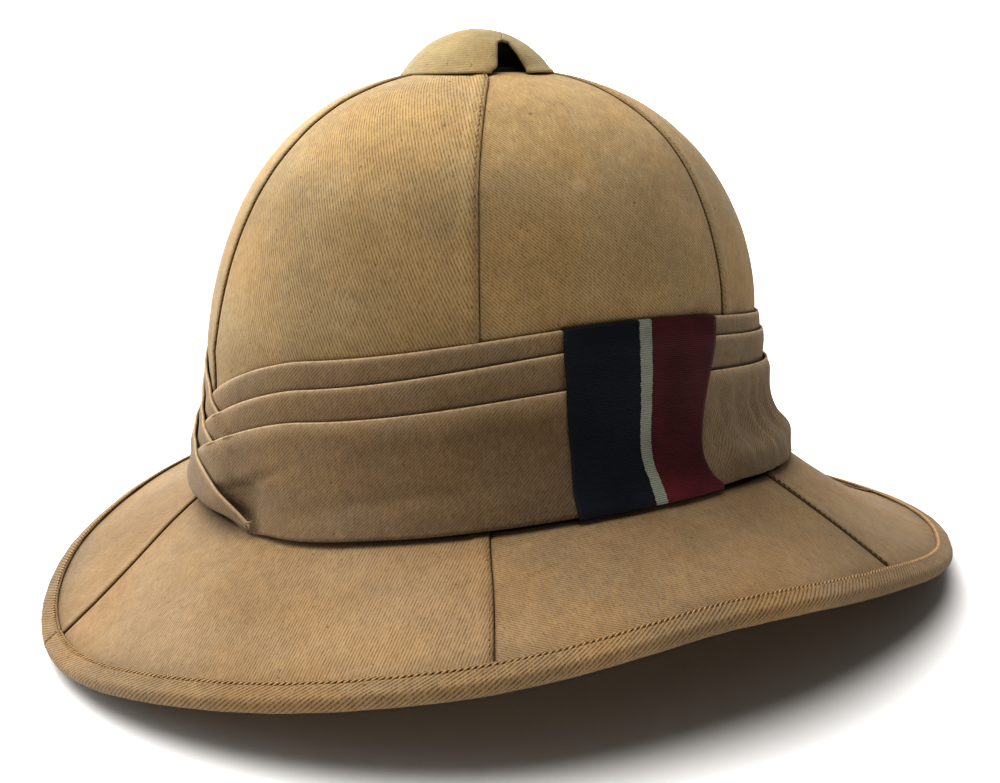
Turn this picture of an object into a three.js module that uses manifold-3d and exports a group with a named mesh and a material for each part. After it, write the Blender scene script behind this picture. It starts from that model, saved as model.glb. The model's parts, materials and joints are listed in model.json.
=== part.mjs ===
// A sun helmet: a moulded cork body under six crown gores and six brim panels of drill cloth, a bound brim
// edge, a three-tier wound band whose ends cross at the front, a striped ribbon on the wearer's left, and a
// domed ventilator. Millimetres, +Z up, the wearer faces -Y and has the left hand at +X. The helmet stands on
// its brim, with the origin under the middle of its outline.
import * as THREE from "three";
import { mergeVertices } from "three/addons/utils/BufferGeometryUtils.js";
import Module from "manifold-3d";

// Ovals, as distances from the crown's centre.
const DOME_OVAL = { front: 105.5, side: 81.5, back: 98 };
const JUNCTION_OVAL = { front: 110.5, side: 96, back: 107 };

// Heights above the mean line where crown and brim meet.
const CROWN_HEIGHT = 138.3;
const BAND_LINE = { mean: 53.4, tilt: -0.4, arch: -5.5 };
const JUNCTION_LINE = { mean: -1, tilt: -1.6, arch: -3.8 };

// The brim from the front (0) round to the back (180), both sides alike. Reach and drop are shares of its
// width and drop at the front, and bow is the share of the drop by which it hangs below a straight slope.
const BRIM_WIDTH = 58.5;
const BRIM_DROP = 45;
const BRIM_SECTIONS = [
  { azimuth: 0, reach: 1, drop: 1, bow: -0.1 },
  { azimuth: 30, reach: 1, drop: 0.77, bow: -0.1 },
  { azimuth: 60, reach: 1.01, drop: 0.51, bow: -0.1 },
  { azimuth: 90, reach: 0.86, drop: 0.36, bow: -0.1 },
  { azimuth: 120, reach: 0.86, drop: 0.57, bow: -0.05 },
  { azimuth: 150, reach: 1.09, drop: 0.89, bow: 0.25 },
  { azimuth: 180, reach: 1.37, drop: 1.06, bow: 0.5 },
];

// The shape of the walls between those lines.
const CROWN_APEX_SHIFT = -6.2;
const VENT_SHIFT = -3.3;
const VENT_SHIFT_POWER = 3;
const FRONT_FOOT = 2.6;
const FOOT_POWER = 6;
const DOME_SHOULDER_POWER = 2.6;
const DOME_TOP_POWER = 1.85;
const FLARE_POWER = 3.5;

// Cloth and cork.
const CLOTH = 1;
const CLEARANCE = 0.3;
const CROWN_CORK = 5;
const BRIM_CORK = 2.4;
const SEAM_GAP = 0.5;
const SEAM_AZIMUTHS = [0, 61, 123, 180, 237, 299];
const STEPS_PER_GORE = 8;

// Rows of the shells: 0 to 1 down the dome, 1 to 2 down the wall under the band, 2 to 3 out along the brim.
const DOME_ROWS = [0, 0.16, 0.33, 0.49, 0.65, 0.82, 1];
const WALL_ROWS = [1.4, 1.7, 1.88];
const BRIM_ROWS = [2.3, 2.65, 3];
const CROWN_HEM_ROW = 1.97;
const BRIM_HEM_ROW = 2.05;

// Bias binding round the brim's edge.
const BINDING_WIDTH = 5.5;
const BINDING_CLOTH = 0.8;
const BINDING_NOSE = 1.2;

// The wound band. Shares run down the wall, from the band line (0) to the junction (1).
const TIERS = [
  { name: "band_upper_tier", top: 0, topAtFront: 0, layer: 0 },
  { name: "band_middle_tier", top: 0.12, topAtFront: 0.17, layer: 1 },
  { name: "band_lower_tier", top: 0.33, topAtFront: 0.35, layer: 2 },
];
const TIER_CLOTH = 1.15;
const TIER_PITCH = 1.75;
const CROSSING_PITCH = 1.45;
const TIER_OVERLAP = 0.1;
const CROSSING_STEPS = 3;
const RAMP_STEPS = 3;
const DIP_START = 26;
const DIP_AT_CENTRE = 0.27;
const DIP_POWER = 1.7;
const FOLD_ROUND = 0.012;
const KNEE_SHARE = 0.84;
const HEM_CLOTH = 2.2;
const HEM_STAND = 0.6;
const TAIL_HEIGHT = 0.05;

// The striped ribbon.
const RIBBON_AZIMUTH = 96;
const RIBBON_WIDTH = 55;
const RIBBON_CLOTH = 0.8;
const RIBBON_STEPS = 7;
const RIBBON_FOLD = 0.02;

// The ribbon's two edges at its rows from the top, as shares of its width to either side of its azimuth.
const RIBBON_EDGES = [
  { left: 0.5, right: 0.57 },
  { left: 0.5, right: 0.57 },
  { left: 0.5, right: 0.55 },
  { left: 0.51, right: 0.51 },
  { left: 0.52, right: 0.46 },
  { left: 0.53, right: 0.44 },
  { left: 0.56, right: 0.46 },
  { left: 0.56, right: 0.46 },
];

// The ventilator on top.
const VENT_HOLE_RADIUS = 20.3;
const COLLAR_WALL = 1.5;
const COLLAR_DEPTH = 6;
const COLLAR_STAND = 1.6;
const SPIDER_ARM_WIDTH = 4;
const SPIDER_ARM_THICKNESS = 1.5;
const SPIDER_ARMS = 3;
const STEM_RADIUS = 4;
const CAP_RADIUS = 26.6;
const CAP_RISE = 15;
const CAP_WALL = 1.4;
const CAP_LIFT = 1.4;
const CAP_NOTCH_AZIMUTH = 91;
const CAP_NOTCH_WIDTH = 12.5;
const CAP_NOTCH_TOP_WIDTH = 3;
const CAP_NOTCH_HEIGHT = 13;
const ROUND_SIDES = 28;
const STEM_SIDES = 10;

// Colours of the cloths and metals, as seen.
const DRILL = new THREE.MeshStandardMaterial({ color: 0xa98a5c, roughness: 0.9, metalness: 0 });
const CORK = new THREE.MeshStandardMaterial({ color: 0x9b8259, roughness: 0.95, metalness: 0 });
const RIBBON_SILK = new THREE.MeshStandardMaterial({ color: 0x1d2333, roughness: 0.55, metalness: 0 });
const COLLAR_METAL = new THREE.MeshStandardMaterial({ color: 0x4a4034, roughness: 0.5, metalness: 0.7 });

const wasm = await Module();
wasm.setup();

const radians = THREE.MathUtils.degToRad;
const lerp = THREE.MathUtils.lerp;
const smooth = (x) => THREE.MathUtils.smoothstep(x, 0, 1);

/** Radius of an oval at an azimuth in degrees: 0 is the front, 90 the wearer's left. */
function ovalRadius(oval, azimuth) {
  const across = Math.sin(radians(azimuth)) / oval.side;
  const along = Math.cos(radians(azimuth));
  return 1 / Math.hypot(across, along / (along > 0 ? oval.front : oval.back));
}

/** Height of a line that tilts from front to back and arches over the sides. */
function lineHeight(line, azimuth) {
  const turn = radians(azimuth);
  return line.mean + line.tilt * Math.cos(turn) + line.arch * Math.cos(2 * turn);
}

/** A column of the brim's sections at an azimuth, on a smooth curve through them, the same on both sides. */
function brimShare(column, azimuth) {
  const last = BRIM_SECTIONS.length - 1;
  const turn = THREE.MathUtils.euclideanModulo(azimuth, 360);
  const place = (Math.min(turn, 360 - turn) / 180) * last;
  const i = Math.min(Math.floor(place), last - 1);
  const t = place - i;
  const mirrored = (k) => BRIM_SECTIONS[last - Math.abs(last - Math.abs(k))];
  const [a, b, c, d] = [i - 1, i, i + 1, i + 2].map((k) => mirrored(k)[column]);
  const bend = 2 * a - 5 * b + 4 * c - d;
  const twist = 3 * (b - c) + d - a;
  return (2 * b + (c - a) * t + bend * t * t + twist * t * t * t) / 2;
}

/** The brim's reach out from the junction at an azimuth. */
function brimReach(azimuth) {
  return BRIM_WIDTH * brimShare("reach", azimuth);
}

/** A point at a radius, azimuth and height, with its centre moved along Y. */
function polar(radius, azimuth, height, shift = 0) {
  return new THREE.Vector3(
    radius * Math.sin(radians(azimuth)),
    -radius * Math.cos(radians(azimuth)) + shift,
    height,
  );
}

/** How far the crown's centre moves along Y at a share of the dome's radius and a row: most at the top. */
function crownShift(share, row) {
  return CROWN_APEX_SHIFT * (1 - share) + VENT_SHIFT * Math.pow(1 - row, VENT_SHIFT_POWER);
}

/** How far the crown stands out at the front, where its foot spreads towards the band. */
function frontFoot(azimuth) {
  return FRONT_FOOT * Math.pow(Math.max(0, Math.cos(radians(azimuth))), 2);
}

/** The outer cloth surface of the whole helmet, by azimuth and row. */
function surface(azimuth, row) {
  const dome = ovalRadius(DOME_OVAL, azimuth);
  const foot = frontFoot(azimuth);
  const junction = ovalRadius(JUNCTION_OVAL, azimuth);
  const bandLine = lineHeight(BAND_LINE, azimuth);
  const junctionLine = lineHeight(JUNCTION_LINE, azimuth);
  if (row <= 1) {
    const holeAngle = Math.asin(VENT_HOLE_RADIUS / dome);
    const share = Math.sin(lerp(holeAngle, Math.PI / 2, row));
    const rise = Math.pow(Math.max(0, 1 - Math.pow(share, DOME_SHOULDER_POWER)), 1 / DOME_TOP_POWER);
    const radius = dome * share + foot * Math.pow(row, FOOT_POWER);
    return polar(radius, azimuth, lerp(bandLine, CROWN_HEIGHT, rise), crownShift(share, row));
  }
  if (row <= 2) {
    const down = row - 1;
    const radius = lerp(dome + foot, junction, Math.pow(down, FLARE_POWER));
    return polar(radius, azimuth, lerp(bandLine, junctionLine, down));
  }
  const out = row - 2;
  const edge = -BRIM_DROP * brimShare("drop", azimuth);
  const height = lerp(junctionLine, edge, out + brimShare("bow", azimuth) * out * (1 - out));
  return polar(junction + brimReach(azimuth) * out, azimuth, height);
}

/** Unit tangent down the surface at an azimuth and row, measured across a small step. */
function downward(azimuth, row) {
  const step = 0.02;
  return surface(azimuth, Math.min(3, row + step)).sub(surface(azimuth, Math.max(0, row - step))).normalize();
}

/** The way out of the surface. The ventilator's hole is cut straight down, so there it is up. */
function outwardNormal(azimuth, row) {
  if (row === 0) return new THREE.Vector3(0, 0, 1);
  const around = surface(azimuth + 0.5, row).sub(surface(azimuth - 0.5, row));
  return downward(azimuth, row).cross(around).normalize();
}

/** A point at a distance off the outer cloth surface: outside is positive. */
function off(azimuth, row, distance) {
  return surface(azimuth, row).addScaledVector(outwardNormal(azimuth, row), distance);
}

/**
 * A closed wall through sections, each with an outer and an inner chain of as many points. Both sides are
 * split along the same diagonals, so nested walls keep their distance.
 */
function loftWall(sections, ring) {
  const count = sections[0].outer.length;
  const loops = sections.map(({ outer, inner }) => [...outer, ...[...inner].reverse()]);
  const size = 2 * count;
  const positions = loops.flat().flatMap((p) => [p.x, p.y, p.z]);
  const index = [];
  const last = ring ? loops.length : loops.length - 1;
  for (let i = 0; i < last; i++) {
    const a = i * size;
    const b = ((i + 1) % loops.length) * size;
    for (let j = 0; j < size; j++) {
      const k = (j + 1) % size;
      if (j < count) index.push(a + j, a + k, b + j, b + j, a + k, b + k);
      else index.push(a + j, a + k, b + k, a + j, b + k, b + j);
    }
  }
  if (!ring) {
    const end = (loops.length - 1) * size;
    for (let j = 0; j < count - 1; j++) {
      const [outer, nextOuter, nextInner, inner] = [j, j + 1, size - 2 - j, size - 1 - j];
      index.push(outer, inner, nextOuter, nextOuter, inner, nextInner);
      index.push(end + outer, end + nextOuter, end + inner, end + nextOuter, end + nextInner, end + inner);
    }
  }
  const geometry = new THREE.BufferGeometry();
  geometry.setAttribute("position", new THREE.Float32BufferAttribute(positions, 3));
  geometry.setIndex(index);
  geometry.computeVertexNormals();
  return geometry;
}

function piece(name, geometry, material) {
  const mesh = new THREE.Mesh(geometry, material);
  mesh.name = name;
  return mesh;
}

/** The azimuths of one gore, from seam to seam. */
function goreAzimuths(gore) {
  const start = SEAM_AZIMUTHS[gore];
  const end = gore + 1 < SEAM_AZIMUTHS.length ? SEAM_AZIMUTHS[gore + 1] : 360;
  return Array.from({ length: STEPS_PER_GORE + 1 }, (_, i) => lerp(start, end, i / STEPS_PER_GORE));
}

const aroundAzimuths = SEAM_AZIMUTHS.flatMap((_, gore) => goreAzimuths(gore).slice(0, STEPS_PER_GORE));

/** The cork wall under a row: thick in the crown, thinner out along the brim. */
function corkWall(row) {
  return lerp(CROWN_CORK, BRIM_CORK, smooth(row - 2));
}

function corkBody() {
  const rows = [...DOME_ROWS, ...WALL_ROWS, CROWN_HEM_ROW, BRIM_HEM_ROW, ...BRIM_ROWS];
  const skin = CLOTH + CLEARANCE;
  const sections = aroundAzimuths.map((azimuth) => ({
    outer: rows.map((row) => off(azimuth, row, -skin)),
    inner: rows.map((row) => off(azimuth, row, -skin - corkWall(row))),
  }));
  return piece("cork_body", loftWall(sections, true), CORK);
}

/** One cloth gore or brim panel, held back from the seams on either side by half the seam's gap. */
function clothPanel(name, gore, rows) {
  const azimuths = goreAzimuths(gore);
  const middle = (azimuths[0] + azimuths[STEPS_PER_GORE]) / 2;
  const half = (azimuths[STEPS_PER_GORE] - azimuths[0]) / 2;
  const inset = (azimuth, row) => {
    const radius = Math.hypot(...surface(azimuth, row).toArray().slice(0, 2));
    const keep = 1 - THREE.MathUtils.radToDeg(SEAM_GAP / 2 / radius) / half;
    return middle + (azimuth - middle) * keep;
  };
  const chain = (azimuth, distance) => rows.map((row) => off(inset(azimuth, row), row, distance));
  const sections = azimuths.map((azimuth) => ({ outer: chain(azimuth, 0), inner: chain(azimuth, -CLOTH) }));
  return piece(name, loftWall(sections, false), DRILL);
}

/** The binding's section: a folded strip over the top, round the nose and back under the brim. */
function bindingSection(azimuth) {
  const edge = surface(azimuth, 3);
  const along = downward(azimuth, 3);
  const normal = outwardNormal(azimuth, 3);
  const at = (out, up) => edge.clone().addScaledVector(along, out).addScaledVector(normal, up);
  const row = BRIM_ROWS[BRIM_ROWS.length - 2];
  const reach = BINDING_WIDTH / surface(azimuth, row).distanceTo(edge);
  const lip = (rowDistance, edgeDistance) => at(0, edgeDistance).lerp(off(azimuth, row, rowDistance), reach);
  const under = CLOTH + CLEARANCE + BRIM_CORK + CLEARANCE;
  const rowUnder = CLOTH + CLEARANCE + corkWall(row) + CLEARANCE;
  const middle = -under / 2 + CLEARANCE / 2;
  const nose = CLEARANCE + BINDING_CLOTH + BINDING_NOSE;
  const cloth = BINDING_CLOTH;
  return {
    outer: [
      lip(CLEARANCE + cloth, CLEARANCE + cloth),
      at(0, CLEARANCE + cloth),
      at(nose, middle + under / 4),
      at(nose, middle - under / 4),
      at(0, -under - cloth),
      lip(-rowUnder - cloth, -under - cloth),
    ],
    inner: [
      lip(CLEARANCE, CLEARANCE),
      at(0, CLEARANCE),
      at(2 * CLEARANCE, middle + under / 4),
      at(2 * CLEARANCE, middle - under / 4),
      at(0, -under),
      lip(-rowUnder, -under),
    ],
  };
}

function brimBinding() {
  return piece("brim_binding", loftWall(aroundAzimuths.map(bindingSection), true), DRILL);
}

/** How far down the wall a fold has dipped where its end crosses the front. Travel is degrees past centre. */
function dip(travel) {
  return DIP_AT_CENTRE * Math.pow(Math.max(0, (travel + DIP_START) / DIP_START), DIP_POWER);
}

/** The panels' azimuth a number of steps round from the front, counting on past a full turn. */
function stepAzimuth(step) {
  const turn = Math.floor(step / aroundAzimuths.length);
  return aroundAzimuths[step - turn * aroundAzimuths.length] + 360 * turn;
}

const crossingHalf = stepAzimuth(CROSSING_STEPS);
const rampEnd = stepAzimuth(CROSSING_STEPS + RAMP_STEPS);

/**
 * A tier's running azimuths: its left end tucked under the crossing, once round, its right end over the
 * crossing. They hold the panels' azimuths, so the band lies on the crown's facets, with halves between them
 * at the crossing.
 */
function tierAzimuths() {
  const last = aroundAzimuths.length + CROSSING_STEPS;
  const azimuths = [];
  for (let step = -CROSSING_STEPS; step <= last; step++) {
    const azimuth = stepAzimuth(step);
    azimuths.push(azimuth);
    const next = stepAzimuth(step + 1);
    const crosses = next <= crossingHalf || (azimuth >= 360 - crossingHalf && step < last);
    if (crosses) azimuths.push((azimuth + next) / 2);
  }
  return azimuths;
}

/** Where a tier's upper fold runs, as a share down the wall. */
function foldShare(tier, running) {
  const fromFront = Math.min(Math.abs(running), Math.abs(360 - running));
  const level = lerp(tier.topAtFront, tier.top, smooth(fromFront / 90));
  return level + dip(-running) + dip(running - 360);
}

/** How far a tier stands off the crown: at the crossing its two ends interleave with the others. */
function standOff(tier, running) {
  const ramp = rampEnd - crossingHalf;
  const start = 1 - smooth((running - crossingHalf) / ramp);
  const end = smooth((running - (360 - rampEnd)) / ramp);
  const level = tier.layer * TIER_PITCH;
  return CLEARANCE + level + start * (2 * tier.layer * CROSSING_PITCH - level) +
    end * ((2 * tier.layer + 1) * CROSSING_PITCH - level);
}

/** A strip's chains from rows of [row, inner distance, outer distance]. */
function chains(azimuth, rows) {
  return {
    inner: rows.map(([row, distance]) => off(azimuth, row, distance)),
    outer: rows.map(([row, , distance]) => off(azimuth, row, distance)),
  };
}

/** An upper tier at an azimuth: from its fold down behind the fold of the tier below. */
function upperTierRows(tier, below, running) {
  const stand = standOff(tier, running);
  const top = Math.min(foldShare(tier, running), 1 - 3 * TAIL_HEIGHT);
  const bottom = Math.max(Math.min(foldShare(below, running) + TIER_OVERLAP, 0.96), top + TAIL_HEIGHT);
  return [
    [1 + top, stand + TIER_CLOTH * 0.25, stand + TIER_CLOTH * 0.75],
    [1 + top + FOLD_ROUND, stand, stand + TIER_CLOTH],
    [1 + lerp(top, bottom, 0.6), stand, stand + TIER_CLOTH],
    [1 + bottom, stand, stand + TIER_CLOTH],
  ];
}

/** The lowest tier at an azimuth, its hem standing on the brim. */
function lowerTierRows(tier, running) {
  const stand = standOff(tier, running);
  const top = Math.min(foldShare(tier, running), 1 - 4 * TAIL_HEIGHT);
  const knee = Math.max(KNEE_SHARE, top + TAIL_HEIGHT);
  const reach = brimReach(running);
  const hem = 2 + (stand + HEM_STAND) / reach;
  return [
    [1 + top, stand + TIER_CLOTH * 0.25, stand + TIER_CLOTH * 0.75],
    [1 + top + FOLD_ROUND, stand, stand + TIER_CLOTH],
    [1 + lerp(top, knee, 0.5), stand, stand + TIER_CLOTH],
    [1 + knee, stand, stand + TIER_CLOTH],
    [hem, HEM_STAND, HEM_STAND + HEM_CLOTH],
  ];
}

/** The lowest tier's tucked end, which stays up behind the crossing. */
function tuckedTierRows(tier, running) {
  const rows = lowerTierRows(tier, running);
  const stand = standOff(tier, running);
  const knee = rows[3][0];
  rows[4] = [lerp(knee, 2, 0.6), stand, stand + TIER_CLOTH];
  return rows;
}

/** A tier of the band as one folded strip. The lowest tier's end that lies under the crossing has no hem. */
function bandTier(tier, below) {
  const sections = tierAzimuths().map((running) => {
    if (below) return chains(running, upperTierRows(tier, below, running));
    const tucked = running < crossingHalf;
    return chains(running, tucked ? tuckedTierRows(tier, running) : lowerTierRows(tier, running));
  });
  return piece(tier.name, loftWall(sections, false), DRILL);
}

/** The ribbon over the band at an azimuth: tucked in at the top fold, down over the folds, under the hem. */
function ribbonRows(azimuth) {
  const front = (tier) => standOff(tier, azimuth) + TIER_CLOTH + CLEARANCE;
  const [upper, middle, lower] = TIERS;
  const lowerRows = lowerTierRows(lower, azimuth);
  const hem = lowerRows[4];
  const past = RIBBON_CLOTH / brimReach(azimuth);
  const over = (row, distance) => [row, distance, distance + RIBBON_CLOTH];
  return [
    [1 + foldShare(upper, azimuth) - RIBBON_FOLD, CLEARANCE, front(upper) + RIBBON_CLOTH],
    over(1 + foldShare(upper, azimuth) + FOLD_ROUND, front(upper)),
    over(1 + foldShare(middle, azimuth) - RIBBON_FOLD, front(middle)),
    over(1 + foldShare(lower, azimuth) - RIBBON_FOLD, front(lower)),
    over(lowerRows[2][0], front(lower)),
    over(lowerRows[3][0], front(lower)),
    [hem[0] + past, hem[2] + CLEARANCE, hem[2] + CLEARANCE + RIBBON_CLOTH],
    [hem[0] + 2.3 * past, CLEARANCE, HEM_CLOTH],
  ];
}

/** The ribbon from edge to edge. It narrows a little where it is drawn in over the band's waist. */
function ribbon() {
  const sections = [];
  const middleRows = ribbonRows(RIBBON_AZIMUTH);
  for (let i = 0; i <= RIBBON_STEPS; i++) {
    const azimuths = middleRows.map(([row], j) => {
      const place = surface(RIBBON_AZIMUTH, row);
      const { left, right } = RIBBON_EDGES[j];
      const sideways = RIBBON_WIDTH * lerp(-left, right, i / RIBBON_STEPS);
      return RIBBON_AZIMUTH + THREE.MathUtils.radToDeg(sideways / Math.hypot(place.x, place.y));
    });
    const points = azimuths.map((azimuth, j) => {
      const [row, inner, outer] = ribbonRows(azimuth)[j];
      return [off(azimuth, row, inner), off(azimuth, row, outer)];
    });
    sections.push({ inner: points.map(([inner]) => inner), outer: points.map(([, outer]) => outer) });
  }
  return piece("ribbon_flash", loftWall(sections, false), RIBBON_SILK);
}

/** A three.js geometry, placed by a matrix, as a solid that can be cut and joined. */
function solid(geometry, matrix = new THREE.Matrix4()) {
  const placed = geometry.clone().applyMatrix4(matrix);
  placed.deleteAttribute("normal");
  placed.deleteAttribute("uv");
  const merged = mergeVertices(placed, 1e-4);
  return new wasm.Manifold(
    new wasm.Mesh({
      numProp: 3,
      vertProperties: new Float32Array(merged.attributes.position.array),
      triVerts: new Uint32Array(merged.index.array),
    }),
  );
}

function geometryOf(manifold) {
  const mesh = manifold.getMesh();
  const geometry = new THREE.BufferGeometry();
  geometry.setAttribute("position", new THREE.BufferAttribute(mesh.vertProperties, 3));
  geometry.setIndex(new THREE.BufferAttribute(mesh.triVerts, 1));
  geometry.computeVertexNormals();
  return geometry;
}

/** A lathe turned about Z from a profile of [radius, height] pairs that closes on itself. */
function turned(profile) {
  const points = [...profile, profile[0]].map(([radius, height]) => new THREE.Vector2(radius, height));
  return new THREE.LatheGeometry(points, ROUND_SIDES).rotateX(Math.PI / 2);
}

const ventAxis = crownShift(VENT_HOLE_RADIUS / DOME_OVAL.side, 0);
const ventSeat = surface(90, 0).z;
const capRim = ventSeat + CAP_LIFT - 1.2;
const capSphere = (CAP_RADIUS ** 2 + CAP_RISE ** 2) / (2 * CAP_RISE);

/** Points of the cap's outer or inner dome, from the rim to the axis. */
function capArc(sphere, steps) {
  const centre = CAP_RISE - capSphere;
  const start = Math.asin(Math.min(1, -centre / sphere));
  return Array.from({ length: steps + 1 }, (_, i) => {
    const angle = lerp(start, Math.PI / 2, i / steps);
    return [i === steps ? 0 : sphere * Math.cos(angle), centre + sphere * Math.sin(angle)];
  });
}

/** The domed cap, hollow, with the torn notch in its rim cut right through. */
function ventilatorCap() {
  const steps = 5;
  const profile = [...capArc(capSphere, steps), ...capArc(capSphere - CAP_WALL, steps).reverse()];
  const dome = solid(turned(profile), new THREE.Matrix4().makeTranslation(0, ventAxis, capRim));
  const outline = new THREE.Shape([
    new THREE.Vector2(-CAP_NOTCH_WIDTH / 2, -1),
    new THREE.Vector2(CAP_NOTCH_WIDTH / 2, -1),
    new THREE.Vector2(CAP_NOTCH_TOP_WIDTH / 2 - 1, CAP_NOTCH_HEIGHT),
    new THREE.Vector2(-CAP_NOTCH_TOP_WIDTH / 2 - 1, CAP_NOTCH_HEIGHT),
  ]);
  const cutter = new THREE.ExtrudeGeometry(outline, { depth: CAP_RADIUS, bevelEnabled: false });
  const place = new THREE.Matrix4()
    .makeTranslation(0, ventAxis, capRim)
    .multiply(new THREE.Matrix4().makeRotationZ(radians(CAP_NOTCH_AZIMUTH)))
    .multiply(new THREE.Matrix4().makeTranslation(0, -STEM_RADIUS - 2, 0))
    .multiply(new THREE.Matrix4().makeRotationX(Math.PI / 2));
  return piece("ventilator_cap", geometryOf(dome.subtract(solid(cutter, place))), DRILL);
}

/** The metal collar in the crown's hole, with the arms and the stem that carry the cap. */
function ventilatorCollar() {
  const outer = VENT_HOLE_RADIUS - CLEARANCE;
  const bottom = ventSeat - COLLAR_DEPTH;
  const ring = turned([
    [outer - COLLAR_WALL, bottom],
    [outer, bottom],
    [outer, ventSeat + COLLAR_STAND],
    [outer - COLLAR_WALL, ventSeat + COLLAR_STAND],
  ]);
  const toAxis = new THREE.Matrix4().makeTranslation(0, ventAxis, 0);
  const stemTop = capRim + CAP_RISE - CAP_WALL - CLEARANCE - 0.3;
  const stemLength = stemTop - bottom;
  const upright = new THREE.CylinderGeometry(STEM_RADIUS, STEM_RADIUS, stemLength, STEM_SIDES);
  const stem = upright.rotateX(Math.PI / 2);
  const stemPlace = new THREE.Matrix4().makeTranslation(0, ventAxis, (stemTop + bottom) / 2);
  let made = solid(ring, toAxis).add(solid(stem, stemPlace));
  const armLength = outer - COLLAR_WALL / 2;
  for (let i = 0; i < SPIDER_ARMS; i++) {
    const arm = new THREE.BoxGeometry(armLength, SPIDER_ARM_WIDTH, SPIDER_ARM_THICKNESS);
    const place = toAxis
      .clone()
      .multiply(new THREE.Matrix4().makeRotationZ((i * 2 * Math.PI) / SPIDER_ARMS))
      .multiply(new THREE.Matrix4().makeTranslation(armLength / 2, 0, bottom + SPIDER_ARM_THICKNESS / 2));
    made = made.add(solid(arm, place));
  }
  return piece("ventilator_collar", geometryOf(made), COLLAR_METAL);
}

const GORE_NAMES = ["left_front", "left_side", "left_back", "right_back", "right_side", "right_front"];
const helmet = new THREE.Group();
helmet.add(corkBody());
GORE_NAMES.forEach((name, gore) => {
  helmet.add(clothPanel(`crown_gore_${name}`, gore, [...DOME_ROWS, ...WALL_ROWS, CROWN_HEM_ROW]));
  helmet.add(clothPanel(`brim_panel_${name}`, gore, [BRIM_HEM_ROW, ...BRIM_ROWS]));
});
helmet.add(brimBinding());
TIERS.forEach((tier, i) => helmet.add(bandTier(tier, TIERS[i + 1])));
helmet.add(ribbon());
helmet.add(ventilatorCollar());
helmet.add(ventilatorCap());

// Stand the helmet on its brim, with the origin under the middle of its outline.
const outline = new THREE.Box3().setFromObject(helmet);
const middle = outline.getCenter(new THREE.Vector3());
helmet.position.set(-middle.x, -middle.y, -outline.min.z);

export default helmet;
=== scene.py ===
"""A sun helmet in khaki drill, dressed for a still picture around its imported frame.

The helmet's form is one surface, given by an azimuth round the head (0 at the front, 90 at the wearer's
left) and by a row: 0 to 1 down the dome, 1 to 2 down the wall behind the band, 2 to 3 out along the brim.
Cloth, seams, band, ribbon and stitches are all laid on that surface. Sizes of the form are in millimetres,
and meshes are in metres.
"""

from __future__ import annotations

import json
import logging
import math
from dataclasses import dataclass
from enum import Enum
from functools import cached_property, lru_cache
from typing import Callable

import bmesh
import bpy
from mathutils import Matrix, Vector, noise

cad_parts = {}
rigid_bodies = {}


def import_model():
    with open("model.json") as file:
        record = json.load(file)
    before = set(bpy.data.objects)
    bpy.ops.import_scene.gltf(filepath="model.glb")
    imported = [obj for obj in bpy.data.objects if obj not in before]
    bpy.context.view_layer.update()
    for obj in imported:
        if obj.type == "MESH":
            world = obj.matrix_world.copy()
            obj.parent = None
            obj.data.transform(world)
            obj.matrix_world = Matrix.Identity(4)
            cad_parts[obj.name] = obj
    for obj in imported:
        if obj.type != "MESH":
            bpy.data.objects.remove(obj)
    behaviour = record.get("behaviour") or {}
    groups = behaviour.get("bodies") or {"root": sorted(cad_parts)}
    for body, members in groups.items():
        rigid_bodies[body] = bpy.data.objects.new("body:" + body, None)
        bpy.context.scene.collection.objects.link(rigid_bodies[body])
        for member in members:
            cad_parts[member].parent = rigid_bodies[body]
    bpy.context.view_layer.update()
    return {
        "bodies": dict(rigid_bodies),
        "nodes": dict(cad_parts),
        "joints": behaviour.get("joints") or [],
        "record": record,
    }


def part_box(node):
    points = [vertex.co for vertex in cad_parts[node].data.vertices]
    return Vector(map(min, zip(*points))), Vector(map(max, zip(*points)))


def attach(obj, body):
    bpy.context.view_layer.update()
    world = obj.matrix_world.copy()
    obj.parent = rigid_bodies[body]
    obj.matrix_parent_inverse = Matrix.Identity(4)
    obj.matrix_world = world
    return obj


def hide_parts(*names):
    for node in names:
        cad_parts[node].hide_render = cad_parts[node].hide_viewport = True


LOG = logging.getLogger("helmet")
MM = 0.001
Colour = tuple[float, float, float, float]
Triple = tuple[float, float, float]
Socket = bpy.types.NodeSocket
Piece = bpy.types.Object
Place = Callable[[float, float], Vector]
ClothPlace = Callable[[float, float], tuple[float, float]]
SoilShadePlace = Callable[[float, float], float]


def lerp(a: float, b: float, share: float) -> float:
    """The value a share of the way from a to b."""
    return a + (b - a) * share


def smooth(x: float) -> float:
    """An S-curve from 0 to 1, flat outside that range."""
    x = min(1.0, max(0.0, x))
    return x * x * (3 - 2 * x)


def bell(x: float, width: float) -> float:
    """A soft bump of height 1 at 0 that fades over a width."""
    return math.exp(-((x / width) ** 2))


def through(a: object, b: object, c: object, d: object, t: float) -> object:
    """The place a share t from b to c on a smooth curve through four numbers or points.

    Args:
        a: The one before the stretch.
        b: The stretch's start.
        c: The stretch's end.
        d: The one after the stretch.
        t: The share from b to c.

    Returns:
        The number or point there.
    """
    bend = a * 2 - b * 5 + c * 4 - d
    twist = (b - c) * 3 + d - a
    return (b * 2 + (c - a) * t + bend * t * t + twist * t**3) / 2


def stretch(places: tuple[float, ...], x: float) -> tuple[int, float]:
    """The number of the stretch between rising places where x lies, and x's share along it."""
    i = max(j for j in range(len(places) - 1) if j == 0 or places[j] <= x)
    return i, (x - places[i]) / (places[i + 1] - places[i])


def walks(points: list[Vector]) -> list[float]:
    """Lengths along a line through points, from its start to each point.

    Args:
        points: The line's points.

    Returns:
        One length for each point, the first 0.
    """
    lengths = [0.0]
    for a, b in zip(points, points[1:]):
        lengths.append(lengths[-1] + (b - a).length)
    return lengths


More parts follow.
